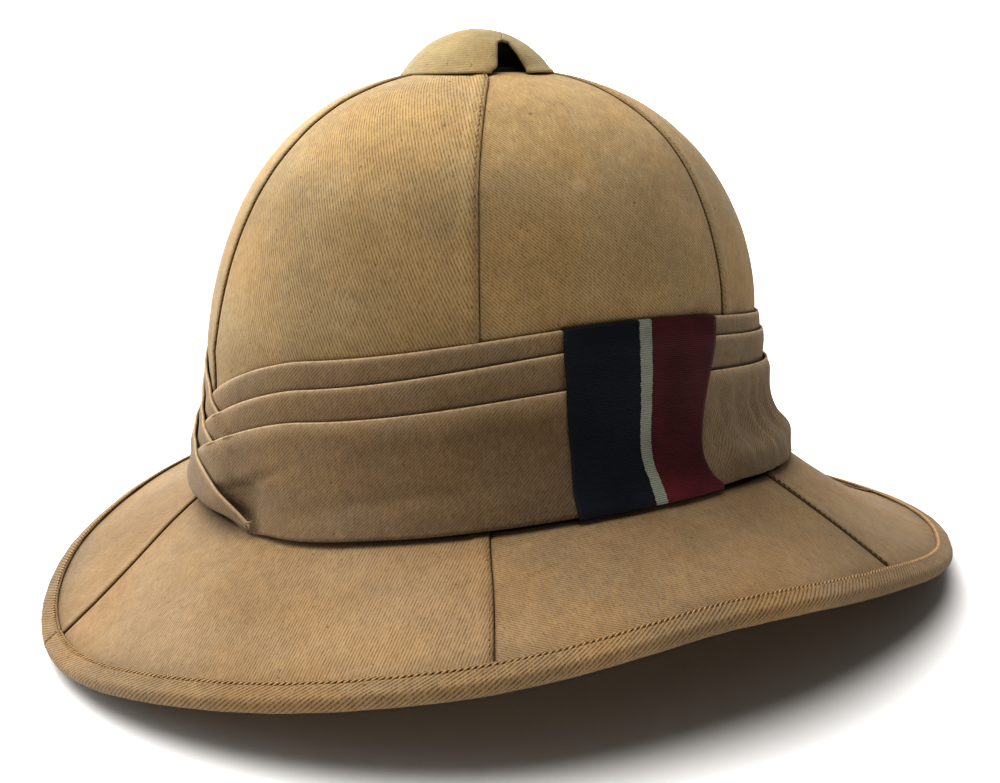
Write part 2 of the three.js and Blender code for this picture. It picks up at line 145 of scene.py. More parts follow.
@dataclass(frozen=True)
class Oval:
    """Half an ellipse to the front and half to the back, of one width."""

    front: float
    side: float
    back: float

    def radius(self, azimuth: float) -> float:
        """Radius at an azimuth in degrees.

        Args:
            azimuth: Degrees from the front.

        Returns:
            Millimetres from the centre.
        """
        across = math.sin(math.radians(azimuth)) / self.side
        along = math.cos(math.radians(azimuth))
        return 1 / math.hypot(across, along / (self.front if along > 0 else self.back))


@dataclass(frozen=True)
class RoundLine:
    """A line round the head that tilts from front to back and arches over the sides."""

    mean: float
    tilt: float
    arch: float

    def height(self, azimuth: float) -> float:
        """Height at an azimuth in degrees."""
        turn = math.radians(azimuth)
        return self.mean + self.tilt * math.cos(turn) + self.arch * math.cos(2 * turn)


@dataclass(frozen=True)
class BrimSection:
    """The brim at one azimuth: shares of its width and drop at the front, and its sag below a slope."""

    azimuth: float
    reach: float
    drop: float
    bow: float


STEPS_A_DEGREE = 4
CROWN_HEM_ROW = 1.97
BRIM_HEM_ROWS = (2.02, 2.995)
BRIM_SECTIONS = (
    BrimSection(0, 1.0, 1.0, -0.1),
    BrimSection(30, 1.0, 0.77, -0.1),
    BrimSection(60, 1.01, 0.51, -0.1),
    BrimSection(90, 0.86, 0.36, -0.1),
    BrimSection(120, 0.86, 0.57, -0.05),
    BrimSection(150, 1.09, 0.89, 0.25),
    BrimSection(180, 1.37, 1.06, 0.5),
)


@dataclass(frozen=True)
class HelmetForm:
    """The outer cloth surface, and places on it."""

    dome: Oval = Oval(105.5, 81.5, 98)
    junction: Oval = Oval(110.5, 96, 107)
    band_line: RoundLine = RoundLine(53.4, -0.4, -5.5)
    junction_line: RoundLine = RoundLine(-1, -1.6, -3.8)
    crown_height: float = 138.3
    apex_shift: float = -6.2
    vent_shift: float = -3.3
    vent_shift_power: float = 3
    front_foot: float = 2.6
    foot_power: float = 6
    shoulder_power: float = 2.6
    top_power: float = 1.85
    flare_power: float = 3.5
    brim_width: float = 58.5
    brim_drop: float = 45
    vent_radius: float = 20.3
    cloth: float = 1.0
    clearance: float = 0.3
    shift: tuple[float, float] = (0.0, 0.0)

    def brim_share(self, column: str, azimuth: float) -> float:
        """A column of the brim's sections on a smooth curve through them.

        Args:
            column: The section's field, reach, drop or bow.
            azimuth: Degrees from the front, either way round.

        Returns:
            The share at that azimuth, alike on both sides.
        """
        last = len(BRIM_SECTIONS) - 1
        turn = azimuth % 360
        place = min(turn, 360 - turn) / 180 * last
        i = min(int(place), last - 1)
        t = place - i
        near = [BRIM_SECTIONS[last - abs(last - abs(k))] for k in (i - 1, i, i + 1, i + 2)]
        return through(*(getattr(section, column) for section in near), t)

    def reach(self, azimuth: float) -> float:
        """The brim's reach out from the junction, in millimetres."""
        return self.brim_width * self.brim_share("reach", azimuth)

    def measured(self, azimuth: float) -> tuple[float, ...]:
        """Radii, heights and brim shares at an azimuth.

        Args:
            azimuth: Degrees from the front.

        Returns:
            Dome, band, junction, its line, foot, reach, edge and bow.
        """
        return (
            self.dome.radius(azimuth),
            self.band_line.height(azimuth),
            self.junction.radius(azimuth),
            self.junction_line.height(azimuth),
            self.front_foot * max(0.0, math.cos(math.radians(azimuth))) ** 2,
            self.reach(azimuth),
            -self.brim_drop * self.brim_share("drop", azimuth),
            self.brim_share("bow", azimuth),
        )

    @cached_property
    def measures(self) -> list[tuple[float, ...]]:
        """The measures all round the head, kept for speed."""
        return [self.measured(i / STEPS_A_DEGREE) for i in range(360 * STEPS_A_DEGREE + 1)]

    def surface(self, azimuth: float, row: float) -> Vector:
        """The point of the outer cloth at an azimuth and row, in millimetres, before the shift.

        Args:
            azimuth: Degrees from the front.
            row: Row of the form.

        Returns:
            The point in the form's millimetres.
        """
        place = azimuth % 360 * STEPS_A_DEGREE
        i = min(int(place), 360 * STEPS_A_DEGREE - 1)
        t = place - i
        here = [a + (b - a) * t for a, b in zip(self.measures[i], self.measures[i + 1])]
        dome, band_line, junction, junction_line, foot, reach, edge, bow = here
        back = 0.0
        if row <= 1:
            hole = math.asin(self.vent_radius / dome)
            share = math.sin(lerp(hole, math.pi / 2, row))
            rise = max(0.0, 1 - share**self.shoulder_power) ** (1 / self.top_power)
            radius = dome * share + foot * row**self.foot_power
            height = lerp(band_line, self.crown_height, rise)
            back = self.apex_shift * (1 - share) + self.vent_shift * (1 - row) ** self.vent_shift_power
        elif row <= 2:
            down = row - 1
            radius = lerp(dome + foot, junction, down**self.flare_power)
            height = lerp(band_line, junction_line, down)
        else:
            out = row - 2
            radius = junction + reach * out
            height = lerp(junction_line, edge, out + bow * out * (1 - out))
        turn = math.radians(azimuth)
        return Vector((radius * math.sin(turn), back - radius * math.cos(turn), height))

    def downward(self, azimuth: float, row: float) -> Vector:
        """Unit tangent down the surface.

        Args:
            azimuth: Degrees from the front.
            row: Row of the form.

        Returns:
            The tangent.
        """
        step = 0.02
        low = self.surface(azimuth, min(3.0, row + step))
        return (low - self.surface(azimuth, max(0.0, row - step))).normalized()

    def around(self, azimuth: float, row: float) -> Vector:
        """Unit tangent round the surface, towards larger azimuths."""
        return (self.surface(azimuth + 0.5, row) - self.surface(azimuth - 0.5, row)).normalized()

    def outward(self, azimuth: float, row: float) -> Vector:
        """Unit normal out of the surface."""
        return self.downward(azimuth, row).cross(self.around(azimuth, row)).normalized()

    def off(self, azimuth: float, row: float, distance: float) -> Vector:
        """A point off the surface, in metres and in the frame's place.

        Args:
            azimuth: Degrees from the front.
            row: Row of the surface.
            distance: Millimetres out of the cloth; inside is negative.

        Returns:
            The point in the row frame.
        """
        point = self.surface(azimuth, row) + self.outward(azimuth, row) * distance
        return self.placed(point)

    def placed(self, point: Vector) -> Vector:
        """A point of the form in metres, in the frame's place."""
        return (point + Vector((0, self.shift[0], self.shift[1]))) * MM

    def girth_radius(self, azimuth: float, row: float) -> float:
        """Distance from the head's axis, in millimetres."""
        point = self.surface(azimuth, row)
        return math.hypot(point.x, point.y)

    def degrees(self, length: float, azimuth: float, row: float) -> float:
        """The azimuth step that makes a length round the surface."""
        return math.degrees(length / self.girth_radius(azimuth, row))

    def row_from_edge(self, azimuth: float, length: float) -> float:
        """The brim's row at a length in from its edge, in millimetres.

        Args:
            azimuth: Degrees from the front.
            length: Millimetres in from the edge.

        Returns:
            The row.
        """
        span = 0.35
        inner = self.surface(azimuth, 3 - span)
        return 3 - span * length / (inner - self.surface(azimuth, 3)).length

    def fitted(self) -> HelmetForm:
        """The same form, shifted to where the frame's own gores and brim lie.

        Returns:
            The shifted form.
        """
        gore_low, gore_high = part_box("crown_gore_left_front")
        front = self.surface(0, CROWN_HEM_ROW).y
        top = max(self.surface(azimuth, 0).z for azimuth in (0, 30, 61))
        shift = (gore_low[1] / MM - front, gore_high[2] / MM - top)
        return HelmetForm(shift=shift)


def grid_piece(
    name: str,
    columns: int,
    rows: int,
    place: Place,
    cloth: ClothPlace,
    soil_and_shade: SoilShadePlace | None = None,
    ring: bool = False,
) -> Piece:
    """A sheet made from a flat grid by carrying each of its points onto the form.

    Args:
        name: The piece's name.
        columns: Faces across the sheet, in the first direction.
        rows: Faces down the sheet.
        place: Gives the point in metres for shares across (0 to 1) and down (0 to 1).
        cloth: Gives the cloth's own coordinates in metres for the same shares.
        soil_and_shade: Gives how soiled the cloth is, 0 to 1, for the same shares, painted shade included;
            below 0 it gives rubbed cloth and painted highlights.
        ring: True where the sheet's two ends meet, so that they are joined.

    Returns:
        The new object, its faces smooth and pointing out.
    """
    bm = bmesh.new()
    bmesh.ops.create_grid(bm, x_segments=columns, y_segments=rows, size=0.5)
    uv = bm.loops.layers.uv.new("cloth")
    # One value a point: dirt and painted shade above 0, rubbed cloth and painted highlights below 0.
    soil_shade_layer = bm.verts.layers.float.new("soil_and_shade")
    bm.verts.index_update()
    flat: list[tuple[float, float]] = []
    for vert in bm.verts:
        s, t = vert.co.x + 0.5, 0.5 - vert.co.y
        flat.append(cloth(s, t))
        vert[soil_shade_layer] = soil_and_shade(s, t) if soil_and_shade else 0.0
        vert.co = place(s, t)
    for face in bm.faces:
        face.smooth = True
        for loop in face.loops:
            loop[uv].uv = flat[loop.vert.index]
    if ring:
        bmesh.ops.remove_doubles(bm, verts=bm.verts[:], dist=0.02 * MM)
    return object_from(name, bm)


def object_from(name: str, bm: bmesh.types.BMesh) -> Piece:
    """A scene object that takes over a bmesh.

    Args:
        name: Its name.
        bm: The mesh, which is freed.

    Returns:
        The object, in the scene.
    """
    mesh = bpy.data.meshes.new(name)
    bm.to_mesh(mesh)
    bm.free()
    piece = bpy.data.objects.new(name, mesh)
    bpy.context.scene.collection.objects.link(piece)
    return piece


def thicken(piece: Piece, millimetres: float) -> None:
    """Gives a sheet a wall on its inner side.

    Args:
        piece: The sheet.
        millimetres: The wall's thickness.
    """
    wall = piece.modifiers.new("wall", "SOLIDIFY")
    wall.thickness = millimetres * MM
    wall.offset = -1


def declare_sheet(piece: Piece, place: Place, columns: int, rows: int, held: str, *under: str) -> None:
    """Logs a piece as a sheet of cloth, with its flat size measured along its own grid lines, and its area.

    Args:
        piece: The sheet, made by grid_piece.
        place: Its point in metres for shares across and down.
        columns: Faces across.
        rows: Faces down.
        held: How the cloth is held; not used.
        under: Nodes or pieces that it rests on; not used.
    """
    across = max(walks([place(i / columns, j / 4) for i in range(columns + 1)])[-1] for j in range(5))
    down = max(walks([place(i / 12, j / rows) for j in range(rows + 1)])[-1] for i in range(13))
    area = min(across * down, sum(face.area for face in piece.data.polygons))
    LOG.info("%s: sheet %.0f x %.0f mm, %.0f cm2", piece.name, across / MM, down / MM, area * 10000)


def settle(piece: Piece, material: bpy.types.Material, slot: str, *nodes: str) -> Piece:
    """Dresses a piece, fixes it to the helmet and lets it stand for the frame's nodes.

    Args:
        piece: The finished piece.
        material: Its finish.
        slot: The record's material slot; not used.
        nodes: Nodes of the frame that it stands for.

    Returns:
        The piece.
    """
    piece.data.materials.clear()
    piece.data.materials.append(material)
    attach(piece, "root")
    if nodes:
        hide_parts(*nodes)
    LOG.info("%s: %d faces", piece.name, len(piece.data.polygons))
    return piece


class Graph:
    """Short ways to build a material's nodes."""

    def __init__(self, name: str) -> None:
        """Starts an empty material with a shader and an output.

        Args:
            name: The material's name.
        """
        self.material = bpy.data.materials.new(name)
        self.material.use_nodes = True
        self.tree = self.material.node_tree
        self.tree.nodes.clear()
        self.shader = self.tree.nodes.new("ShaderNodeBsdfPrincipled")
        output = self.tree.nodes.new("ShaderNodeOutputMaterial")
        self.link(self.shader.outputs["BSDF"], output.inputs["Surface"])

    def link(self, a: Socket, b: Socket) -> None:
        """Joins an output to an input."""
        self.tree.links.new(a, b)

    def feed(self, socket: Socket, value: object) -> None:
        """Links a socket, or sets a plain value.

        Args:
            socket: The input.
            value: An output to link, or the input's value.
        """
        if isinstance(value, Socket):
            self.link(value, socket)
        else:
            socket.default_value = value

    def coordinates(
        self, kind: str, scale: Triple = (1, 1, 1), turn: float = 0, move: Triple = (0, 0, 0)
    ) -> Socket:
        """Texture coordinates, turned about Z in degrees, then scaled.

        Args:
            kind: Object or UV.
            scale: Scale along each axis.
            turn: Degrees about Z.
            move: Shift, in metres.

        Returns:
            The coordinates.
        """
        source = self.tree.nodes.new("ShaderNodeTexCoord")
        mapping = self.tree.nodes.new("ShaderNodeMapping")
        mapping.inputs["Rotation"].default_value = (0, 0, math.radians(turn))
        mapping.inputs["Scale"].default_value = scale
        mapping.inputs["Location"].default_value = move
        self.link(source.outputs[kind], mapping.inputs["Vector"])
        return mapping.outputs["Vector"]

    def noise(self, vector: Socket, scale: float, detail: float = 3, roughness: float = 0.55) -> Socket:
        """A noise pattern's value.

        Args:
            vector: The coordinates.
            scale: Grains to a metre, roughly.
            detail: Octaves.
            roughness: How strong the finer octaves are.

        Returns:
            Its value, mostly 0.3 to 0.7.
        """
        node = self.tree.nodes.new("ShaderNodeTexNoise")
        self.link(vector, node.inputs["Vector"])
        node.inputs["Scale"].default_value = scale
        node.inputs["Detail"].default_value = detail
        node.inputs["Roughness"].default_value = roughness
        return node.outputs["Fac"]

    def bands(self, vector: Socket, pitch: float, distortion: float = 0, detail_scale: float = 1) -> Socket:
        """Soft stripes across X, one for each pitch in metres.

        Args:
            vector: The coordinates.
            pitch: Metres from stripe to stripe.
            distortion: How far the stripes waver.
            detail_scale: How finely they waver.

        Returns:
            A value from 0 to 1.
        """
        node = self.tree.nodes.new("ShaderNodeTexWave")
        node.wave_type = "BANDS"
        node.bands_direction = "X"
        node.wave_profile = "SIN"
        self.link(vector, node.inputs["Vector"])
        node.inputs["Scale"].default_value = math.pi / 10 / pitch
        node.inputs["Distortion"].default_value = distortion
        node.inputs["Detail"].default_value = 2
        node.inputs["Detail Scale"].default_value = detail_scale
        return node.outputs["Fac"]

    def math(self, operation: str, a: object, b: object = 0.0, clamp: bool = False) -> Socket:
        """A math node's value.

        Args:
            operation: The node's operation.
            a: Its first value or output.
            b: Its second one.
            clamp: True to hold the result between 0 and 1.

        Returns:
            The result.
        """
        node = self.tree.nodes.new("ShaderNodeMath")
        node.operation = operation
        node.use_clamp = clamp
        self.feed(node.inputs[0], a)
        self.feed(node.inputs[1], b)
        return node.outputs[0]

    def ramp(self, value: Socket, low: float, high: float, to_low: float = 0, to_high: float = 1) -> Socket:
        """A value carried from one range to another, held at its ends.

        Args:
            value: The value.
            low: The value where the range starts.
            high: The value where it ends.
            to_low: The result at the start.
            to_high: The result at the end.

        Returns:
            The result.
        """
        node = self.tree.nodes.new("ShaderNodeMapRange")
        node.interpolation_type = "SMOOTHSTEP"
        self.link(value, node.inputs["Value"])
        node.inputs["From Min"].default_value = low
        node.inputs["From Max"].default_value = high
        node.inputs["To Min"].default_value = to_low
        node.inputs["To Max"].default_value = to_high
        return node.outputs["Result"]

    def mix(self, factor: object, a: object, b: object, blend: str = "MIX") -> Socket:
        """Two colours mixed.

        Args:
            factor: The second colour's share.
            a: The first colour.
            b: The second colour.
            blend: How they mix.

        Returns:
            The colour.
        """
        node = self.tree.nodes.new("ShaderNodeMix")
        node.data_type = "RGBA"
        node.blend_type = blend
        self.feed(node.inputs[0], factor)
        self.feed(node.inputs[6], a)
        self.feed(node.inputs[7], b)
        return node.outputs[2]

    def combine(self, value: Socket) -> Socket:
        """A grey colour from one value.

        Args:
            value: The value.

        Returns:
            The colour.
        """
        node = self.tree.nodes.new("ShaderNodeCombineColor")
        for channel in node.inputs:
            self.link(value, channel)
        return node.outputs["Color"]

    def distance(self, vector: Socket, place: Vector) -> Socket:
        """How far a coordinate is from one place.

        Args:
            vector: The coordinates.
            place: The place, in metres.

        Returns:
            Metres.
        """
        node = self.tree.nodes.new("ShaderNodeVectorMath")
        node.operation = "DISTANCE"
        self.link(vector, node.inputs[0])
        node.inputs[1].default_value = place
        return node.outputs["Value"]

    def attribute(self, name: str) -> Socket:
        """A number kept on the mesh's points.

        Args:
            name: Its name.

        Returns:
            The number.
        """
        node = self.tree.nodes.new("ShaderNodeAttribute")
        node.attribute_name = name
        return node.outputs["Fac"]

    def bump(self, height: Socket, strength: float, distance: float, before: object = None) -> Socket:
        """A bump from a height pattern, on top of another one.

        Args:
            height: The pattern.
            strength: How much of it shows.
            distance: Metres for a height of 1.
            before: A bump underneath.

        Returns:
            The normal.
        """
        node = self.tree.nodes.new("ShaderNodeBump")
        node.inputs["Strength"].default_value = strength
        node.inputs["Distance"].default_value = distance
        self.link(height, node.inputs["Height"])
        if before is not None:
            self.link(before, node.inputs["Normal"])
        return node.outputs["Normal"]


@dataclass(frozen=True)
class Spot:
    """A small mark on the cloth, its place given on the form and its size in millimetres."""

    azimuth: float
    row: float
    size: float
    strength: float
    colour: Colour

    def place(self, form: HelmetForm) -> Vector:
        """Its centre, in metres."""
        return form.off(self.azimuth, self.row, 0.5)


# The dirt colour; the mesh's stored value also mixes it in as painted shade.
DIRT_AND_SHADE = (0.075, 0.045, 0.024, 1)
# The rubbed colour; the mesh's stored value also mixes it in as painted highlights on fold crests.
RUBBED_AND_HIGHLIGHT = (0.62, 0.47, 0.30, 1)
CROWN_SPOTS = (
    Spot(78.2, 0.341, 0.9, 0.75, DIRT_AND_SHADE),
    Spot(77.2, 0.473, 0.75, 0.7, DIRT_AND_SHADE),
    Spot(85.6, 0.6, 3.4, 0.28, RUBBED_AND_HIGHLIGHT),
    Spot(101.7, 0.528, 2.2, 0.25, RUBBED_AND_HIGHLIGHT),
)
BRIM_SPOTS = (Spot(56.9, 2.387, 0.8, 0.7, DIRT_AND_SHADE),)


@dataclass(frozen=True)
class DrillFinish:
    """Cotton drill: diagonal ribs parted by thin grooves, uneven yarn, dirt and painted shade, uneven tone,
    and painted top light lighter towards the crown's top.
    """

    name: str
    rib_turn: float
    light: Colour = (0.505, 0.364, 0.19, 1)
    dark: Colour = (0.22, 0.144, 0.069, 1)
    pitch: float = 0.9
    groove: float = 0.8
    fade: float = 0.17
    depth: float = 0.26
    # Painted top light: colour factors at two heights of the form, in millimetres.
    height_shading: tuple[float, float] = (1.0, 1.0)
    height_shading_range: tuple[float, float] = (88, 126)
    spots: tuple[Spot, ...] = ()

    def make(self, form: HelmetForm) -> bpy.types.Material:
        """Builds the finish.

        Args:
            form: The form that the spots' places are on.

        Returns:
            The material, its ribs turned from the cloth's length by rib_turn degrees.
        """
        g = Graph(self.name)
        place = g.coordinates("Object")
        along = g.coordinates("UV", turn=self.rib_turn, scale=(1, 0.22, 1))
        across = g.coordinates("UV", turn=self.rib_turn)
        ribs = g.bands(across, self.pitch * MM, distortion=0.9, detail_scale=0.4)
        picks = g.bands(g.coordinates("UV", turn=self.rib_turn + 74), self.pitch * 0.7 * MM, distortion=1.6)
        grooves = g.ramp(ribs, 0.0, 0.6, 1.0, 0.0)
        broken = g.ramp(g.noise(along, 1100, 2), 0.28, 0.6, 0.35, 1.0)
        yarn = g.ramp(g.noise(along, 2100, 2), 0.3, 0.7, -0.2, 0.2)
        cut = g.math("MULTIPLY", g.math("MULTIPLY", grooves, broken), g.ramp(picks, 0, 1, 0.75, 1.0))
        shown = g.math("ADD", g.math("MULTIPLY", cut, self.groove), yarn, clamp=True)
        colour = g.mix(shown, self.light, self.dark)
        wide = g.ramp(g.noise(place, 13, 3, 0.6), 0.32, 0.68, 1 - self.fade, 1.05)
        middle = g.ramp(g.noise(place, 46, 4, 0.65), 0.3, 0.72, 0.93, 1.05)
        fine = g.ramp(g.noise(place, 240, 3, 0.6), 0.3, 0.7, 0.94, 1.05)
        cloudy = g.math("MULTIPLY", g.math("MULTIPLY", wide, middle), fine)
        colour = g.mix(1.0, colour, g.combine(cloudy), "MULTIPLY")
        # Painted top light: the colour goes from the first factor at the lower height to the second at the
        # upper, darker low on the crown and lighter towards its top.
        if self.height_shading != (1.0, 1.0):
            high = g.tree.nodes.new("ShaderNodeSeparateXYZ")
            g.link(place, high.inputs[0])
            low, top = (form.placed(Vector((0, 0, height))).z for height in self.height_shading_range)
            top_light = g.ramp(high.outputs["Z"], low, top, *self.height_shading)
            colour = g.mix(1.0, colour, g.combine(top_light), "MULTIPLY")
        warmth = g.ramp(g.noise(g.coordinates("Object", move=(0.4, 0.1, 0.2)), 24, 3), 0.35, 0.65)
        tint = g.mix(warmth, (1.03, 0.99, 0.93, 1), (0.98, 1.01, 1.07, 1))
        colour = g.mix(1.0, colour, tint, "MULTIPLY")
        elsewhere = g.coordinates("Object", move=(0.2, 0.7, 0.1))
        specks = g.ramp(g.noise(elsewhere, 620, 1), 0.735, 0.775, 0.0, 0.5)
        colour = g.mix(specks, colour, DIRT_AND_SHADE)
        for spot in self.spots:
            far = g.distance(place, spot.place(form))
            mask = g.ramp(far, spot.size * 0.35 * MM, spot.size * MM, spot.strength, 0.0)
            colour = g.mix(mask, colour, spot.colour)
        # The mesh's stored value darkens towards the dirt colour above 0, for dirt and painted shade, and
        # lightens towards the rubbed colour below 0, for rubbed cloth and painted highlights.
        patchy = g.ramp(g.noise(place, 700, 2), 0.3, 0.6, 0.6, 1.0)
        mark = g.math("MULTIPLY", g.attribute("soil_and_shade"), patchy)
        colour = g.mix(g.math("MULTIPLY", mark, 1.0, clamp=True), colour, DIRT_AND_SHADE)
        colour = g.mix(g.math("MULTIPLY", mark, -1.0, clamp=True), colour, RUBBED_AND_HIGHLIGHT)
        g.feed(g.shader.inputs["Base Color"], colour)
        g.shader.inputs["Roughness"].default_value = 0.9
        g.shader.inputs["Specular IOR Level"].default_value = 0.2
        g.shader.inputs["Sheen Weight"].default_value = 0.1
        g.shader.inputs["Sheen Roughness"].default_value = 0.5
        height = g.math("SUBTRACT", 1.0, shown)
        normal = g.bump(height, 0.5, self.depth * MM)
        normal = g.bump(g.noise(place, 330, 3), 0.25, 0.5 * MM, normal)
        normal = g.bump(g.noise(place, 60, 2), 0.3, 1.2 * MM, normal)
        g.feed(g.shader.inputs["Normal"], normal)
        return g.material


@dataclass(frozen=True)
class Stripe:
    """A stripe of the ribbon up to a share of its width, with a lighter colour at the foot, a painted
    highlight where the ribbon flares up.
    """

    end: float
    colour: Colour
    foot: Colour


@dataclass(frozen=True)
class RibbonFinish:
    """Ribbed silk ribbon in woven stripes."""

    name: str = "striped_ribbon"
    stripes: tuple[Stripe, ...] = (
        Stripe(0.475, (0.0075, 0.0105, 0.015, 1), (0.015, 0.0165, 0.027, 1)),
        Stripe(0.555, (0.23, 0.24, 0.195, 1), (0.27, 0.28, 0.235, 1)),
        Stripe(1.0, (0.07, 0.0115, 0.0135, 1), (0.135, 0.02, 0.027, 1)),
    )
    rib: float = 0.7

    def make(self) -> bpy.types.Material:
        """Builds the finish, the stripes across the piece's own cloth coordinates.

        Returns:
            The material.
        """
        g = Graph(self.name)
        split = g.tree.nodes.new("ShaderNodeSeparateXYZ")
        g.link(g.coordinates("UV"), split.inputs[0])
        wobble = g.ramp(g.noise(g.coordinates("UV"), 900, 2), 0.2, 0.8, -0.00018, 0.00018)
        across = g.math("ADD", split.outputs["X"], wobble)
        width = RibbonFlash.width * MM
        colour: object = self.stripes[0].colour
        foot: object = self.stripes[0].foot
        for before, stripe in zip(self.stripes, self.stripes[1:]):
            edge = before.end * width
            crossed = g.ramp(across, edge - 0.15 * MM, edge + 0.15 * MM)
            colour = g.mix(crossed, colour, stripe.colour)
            foot = g.mix(crossed, foot, stripe.foot)
        # Painted highlight: the flared foot of the ribbon takes the lighter foot colours.
        colour = g.mix(g.attribute("soil_and_shade"), colour, foot)
        ribs = g.bands(g.coordinates("UV", turn=90), self.rib * MM, distortion=0.6)
        warp = g.bands(g.coordinates("UV"), 0.4 * MM, distortion=1.2)
        mottle = g.noise(g.coordinates("Object"), 60, 4)
        tone = g.math("MULTIPLY", g.ramp(ribs, 0, 1, 0.7, 1.1), g.ramp(mottle, 0.3, 0.7, 0.8, 1.2))
        colour = g.mix(1.0, colour, g.combine(tone), "MULTIPLY")
        g.feed(g.shader.inputs["Base Color"], colour)
        g.shader.inputs["Roughness"].default_value = 0.6
        g.shader.inputs["Specular IOR Level"].default_value = 0.22
        g.shader.inputs["Sheen Weight"].default_value = 0.04
        g.shader.inputs["Sheen Roughness"].default_value = 0.35
        normal = g.bump(ribs, 0.5, 0.16 * MM)
        normal = g.bump(warp, 0.2, 0.08 * MM, normal)
        g.feed(g.shader.inputs["Normal"], normal)
        return g.material


@dataclass(frozen=True)
class PlainFinish:
    """A finish with a mottled colour and a fine grain, for thread, metal, cork facing and floor."""

    name: str
    colour: Colour
    roughness: float = 0.8
    metal: float = 0.0
    grain: float = 400
    depth: float = 0.1
    mottle: float = 0.2

    def make(self) -> bpy.types.Material:
        """Builds the finish.

        Returns:
            The material.
        """
        g = Graph(self.name)
        place = g.coordinates("Object")
        tone = g.ramp(g.noise(place, self.grain / 6, 4), 0.3, 0.7, 1 - self.mottle, 1 + self.mottle / 2)
        colour = g.mix(1.0, self.colour, g.combine(tone), "MULTIPLY")
        g.feed(g.shader.inputs["Base Color"], colour)
        g.shader.inputs["Roughness"].default_value = self.roughness
        g.shader.inputs["Metallic"].default_value = self.metal
        g.feed(g.shader.inputs["Normal"], g.bump(g.noise(place, self.grain, 3), 0.5, self.depth * MM))
        return g.material


@dataclass(frozen=True)
class SeamPath:
    """A seam's azimuths at rows of the form, from the top down."""

    rows: tuple[float, ...]
    azimuths: tuple[float, ...]

    def azimuth(self, row: float) -> float:
        """The seam's azimuth at a row, on a smooth curve through its places.

        Args:
            row: Row of the form.

        Returns:
            Degrees from the front.
        """
        i, t = stretch(self.rows, row)
        last = len(self.rows) - 1
        near = [self.azimuths[min(max(k, 0), last)] for k in (i - 1, i, i + 1, i + 2)]
        return through(*near, t)

    def mirrored(self) -> SeamPath:
        """The same seam on the other side."""
        return SeamPath(self.rows, tuple(360 - a for a in self.azimuths))


CROWN_ROWS = (0.0, 0.25, 0.5, 0.75, 1.0, 1.97)
BRIM_ROWS = (2.02, 2.5, 3.0)
CROWN_SEAMS = (
    SeamPath(CROWN_ROWS, (9, 5, 3.3, 1.8, 1.0, -3)),
    SeamPath(CROWN_ROWS, (72, 64, 60.2, 59.4, 59.3, 59.3)),
    SeamPath(CROWN_ROWS, (145, 131, 128, 124.8, 124.6, 124.6)),
    SeamPath(CROWN_ROWS, (180, 180, 180, 180, 180, 180)),
)
BRIM_SEAMS = (
    SeamPath(BRIM_ROWS, (-10.5, -2.5, 1.0)),
    SeamPath(BRIM_ROWS, (61.1, 62.1, 62.4)),
    SeamPath(BRIM_ROWS, (127.5, 125.7, 123.7)),
    SeamPath(BRIM_ROWS, (180, 180, 180)),
)


class Lap(Enum):
    """How a panel lies at a seam."""

    OVER = "over"
    UNDER = "under"


class Gore(Enum):
    """The six gores: name, first seam's number, and how the cloth laps at its first and second seams."""

    LEFT_FRONT = ("left_front", 0, Lap.UNDER, Lap.OVER)
    LEFT_SIDE = ("left_side", 1, Lap.UNDER, Lap.UNDER)
    LEFT_BACK = ("left_back", 2, Lap.OVER, Lap.UNDER)
    RIGHT_BACK = ("right_back", 3, Lap.OVER, Lap.OVER)
    RIGHT_SIDE = ("right_side", 4, Lap.UNDER, Lap.UNDER)
    RIGHT_FRONT = ("right_front", 5, Lap.OVER, Lap.OVER)

    @property
    def label(self) -> str:
        """The gore's name."""
        return self.value[0]

    @property
    def laps(self) -> tuple[Lap, Lap]:
        """How the cloth lies at its two seams."""
        return self.value[2], self.value[3]

    def seams(self, row: float) -> tuple[float, float]:
        """Azimuths of the gore's two seams at a row."""
        return seam_azimuth(self.value[1], row), seam_azimuth(self.value[1] + 1, row)


@lru_cache(maxsize=None)
def seam_azimuth(number: int, row: float) -> float:
    """Azimuth of a seam at a row. Seams 4 and 5 mirror 2 and 1, and seam 6 is seam 0 once round.

    Args:
        number: The seam's number, 0 at the front.
        row: Row of the form.

    Returns:
        Degrees from the front.
    """
    paths = CROWN_SEAMS if row < 2 else BRIM_SEAMS
    if number < 4:
        return paths[number].azimuth(row)
    if number == 6:
        return paths[0].azimuth(row) + 360
    return paths[6 - number].mirrored().azimuth(row)


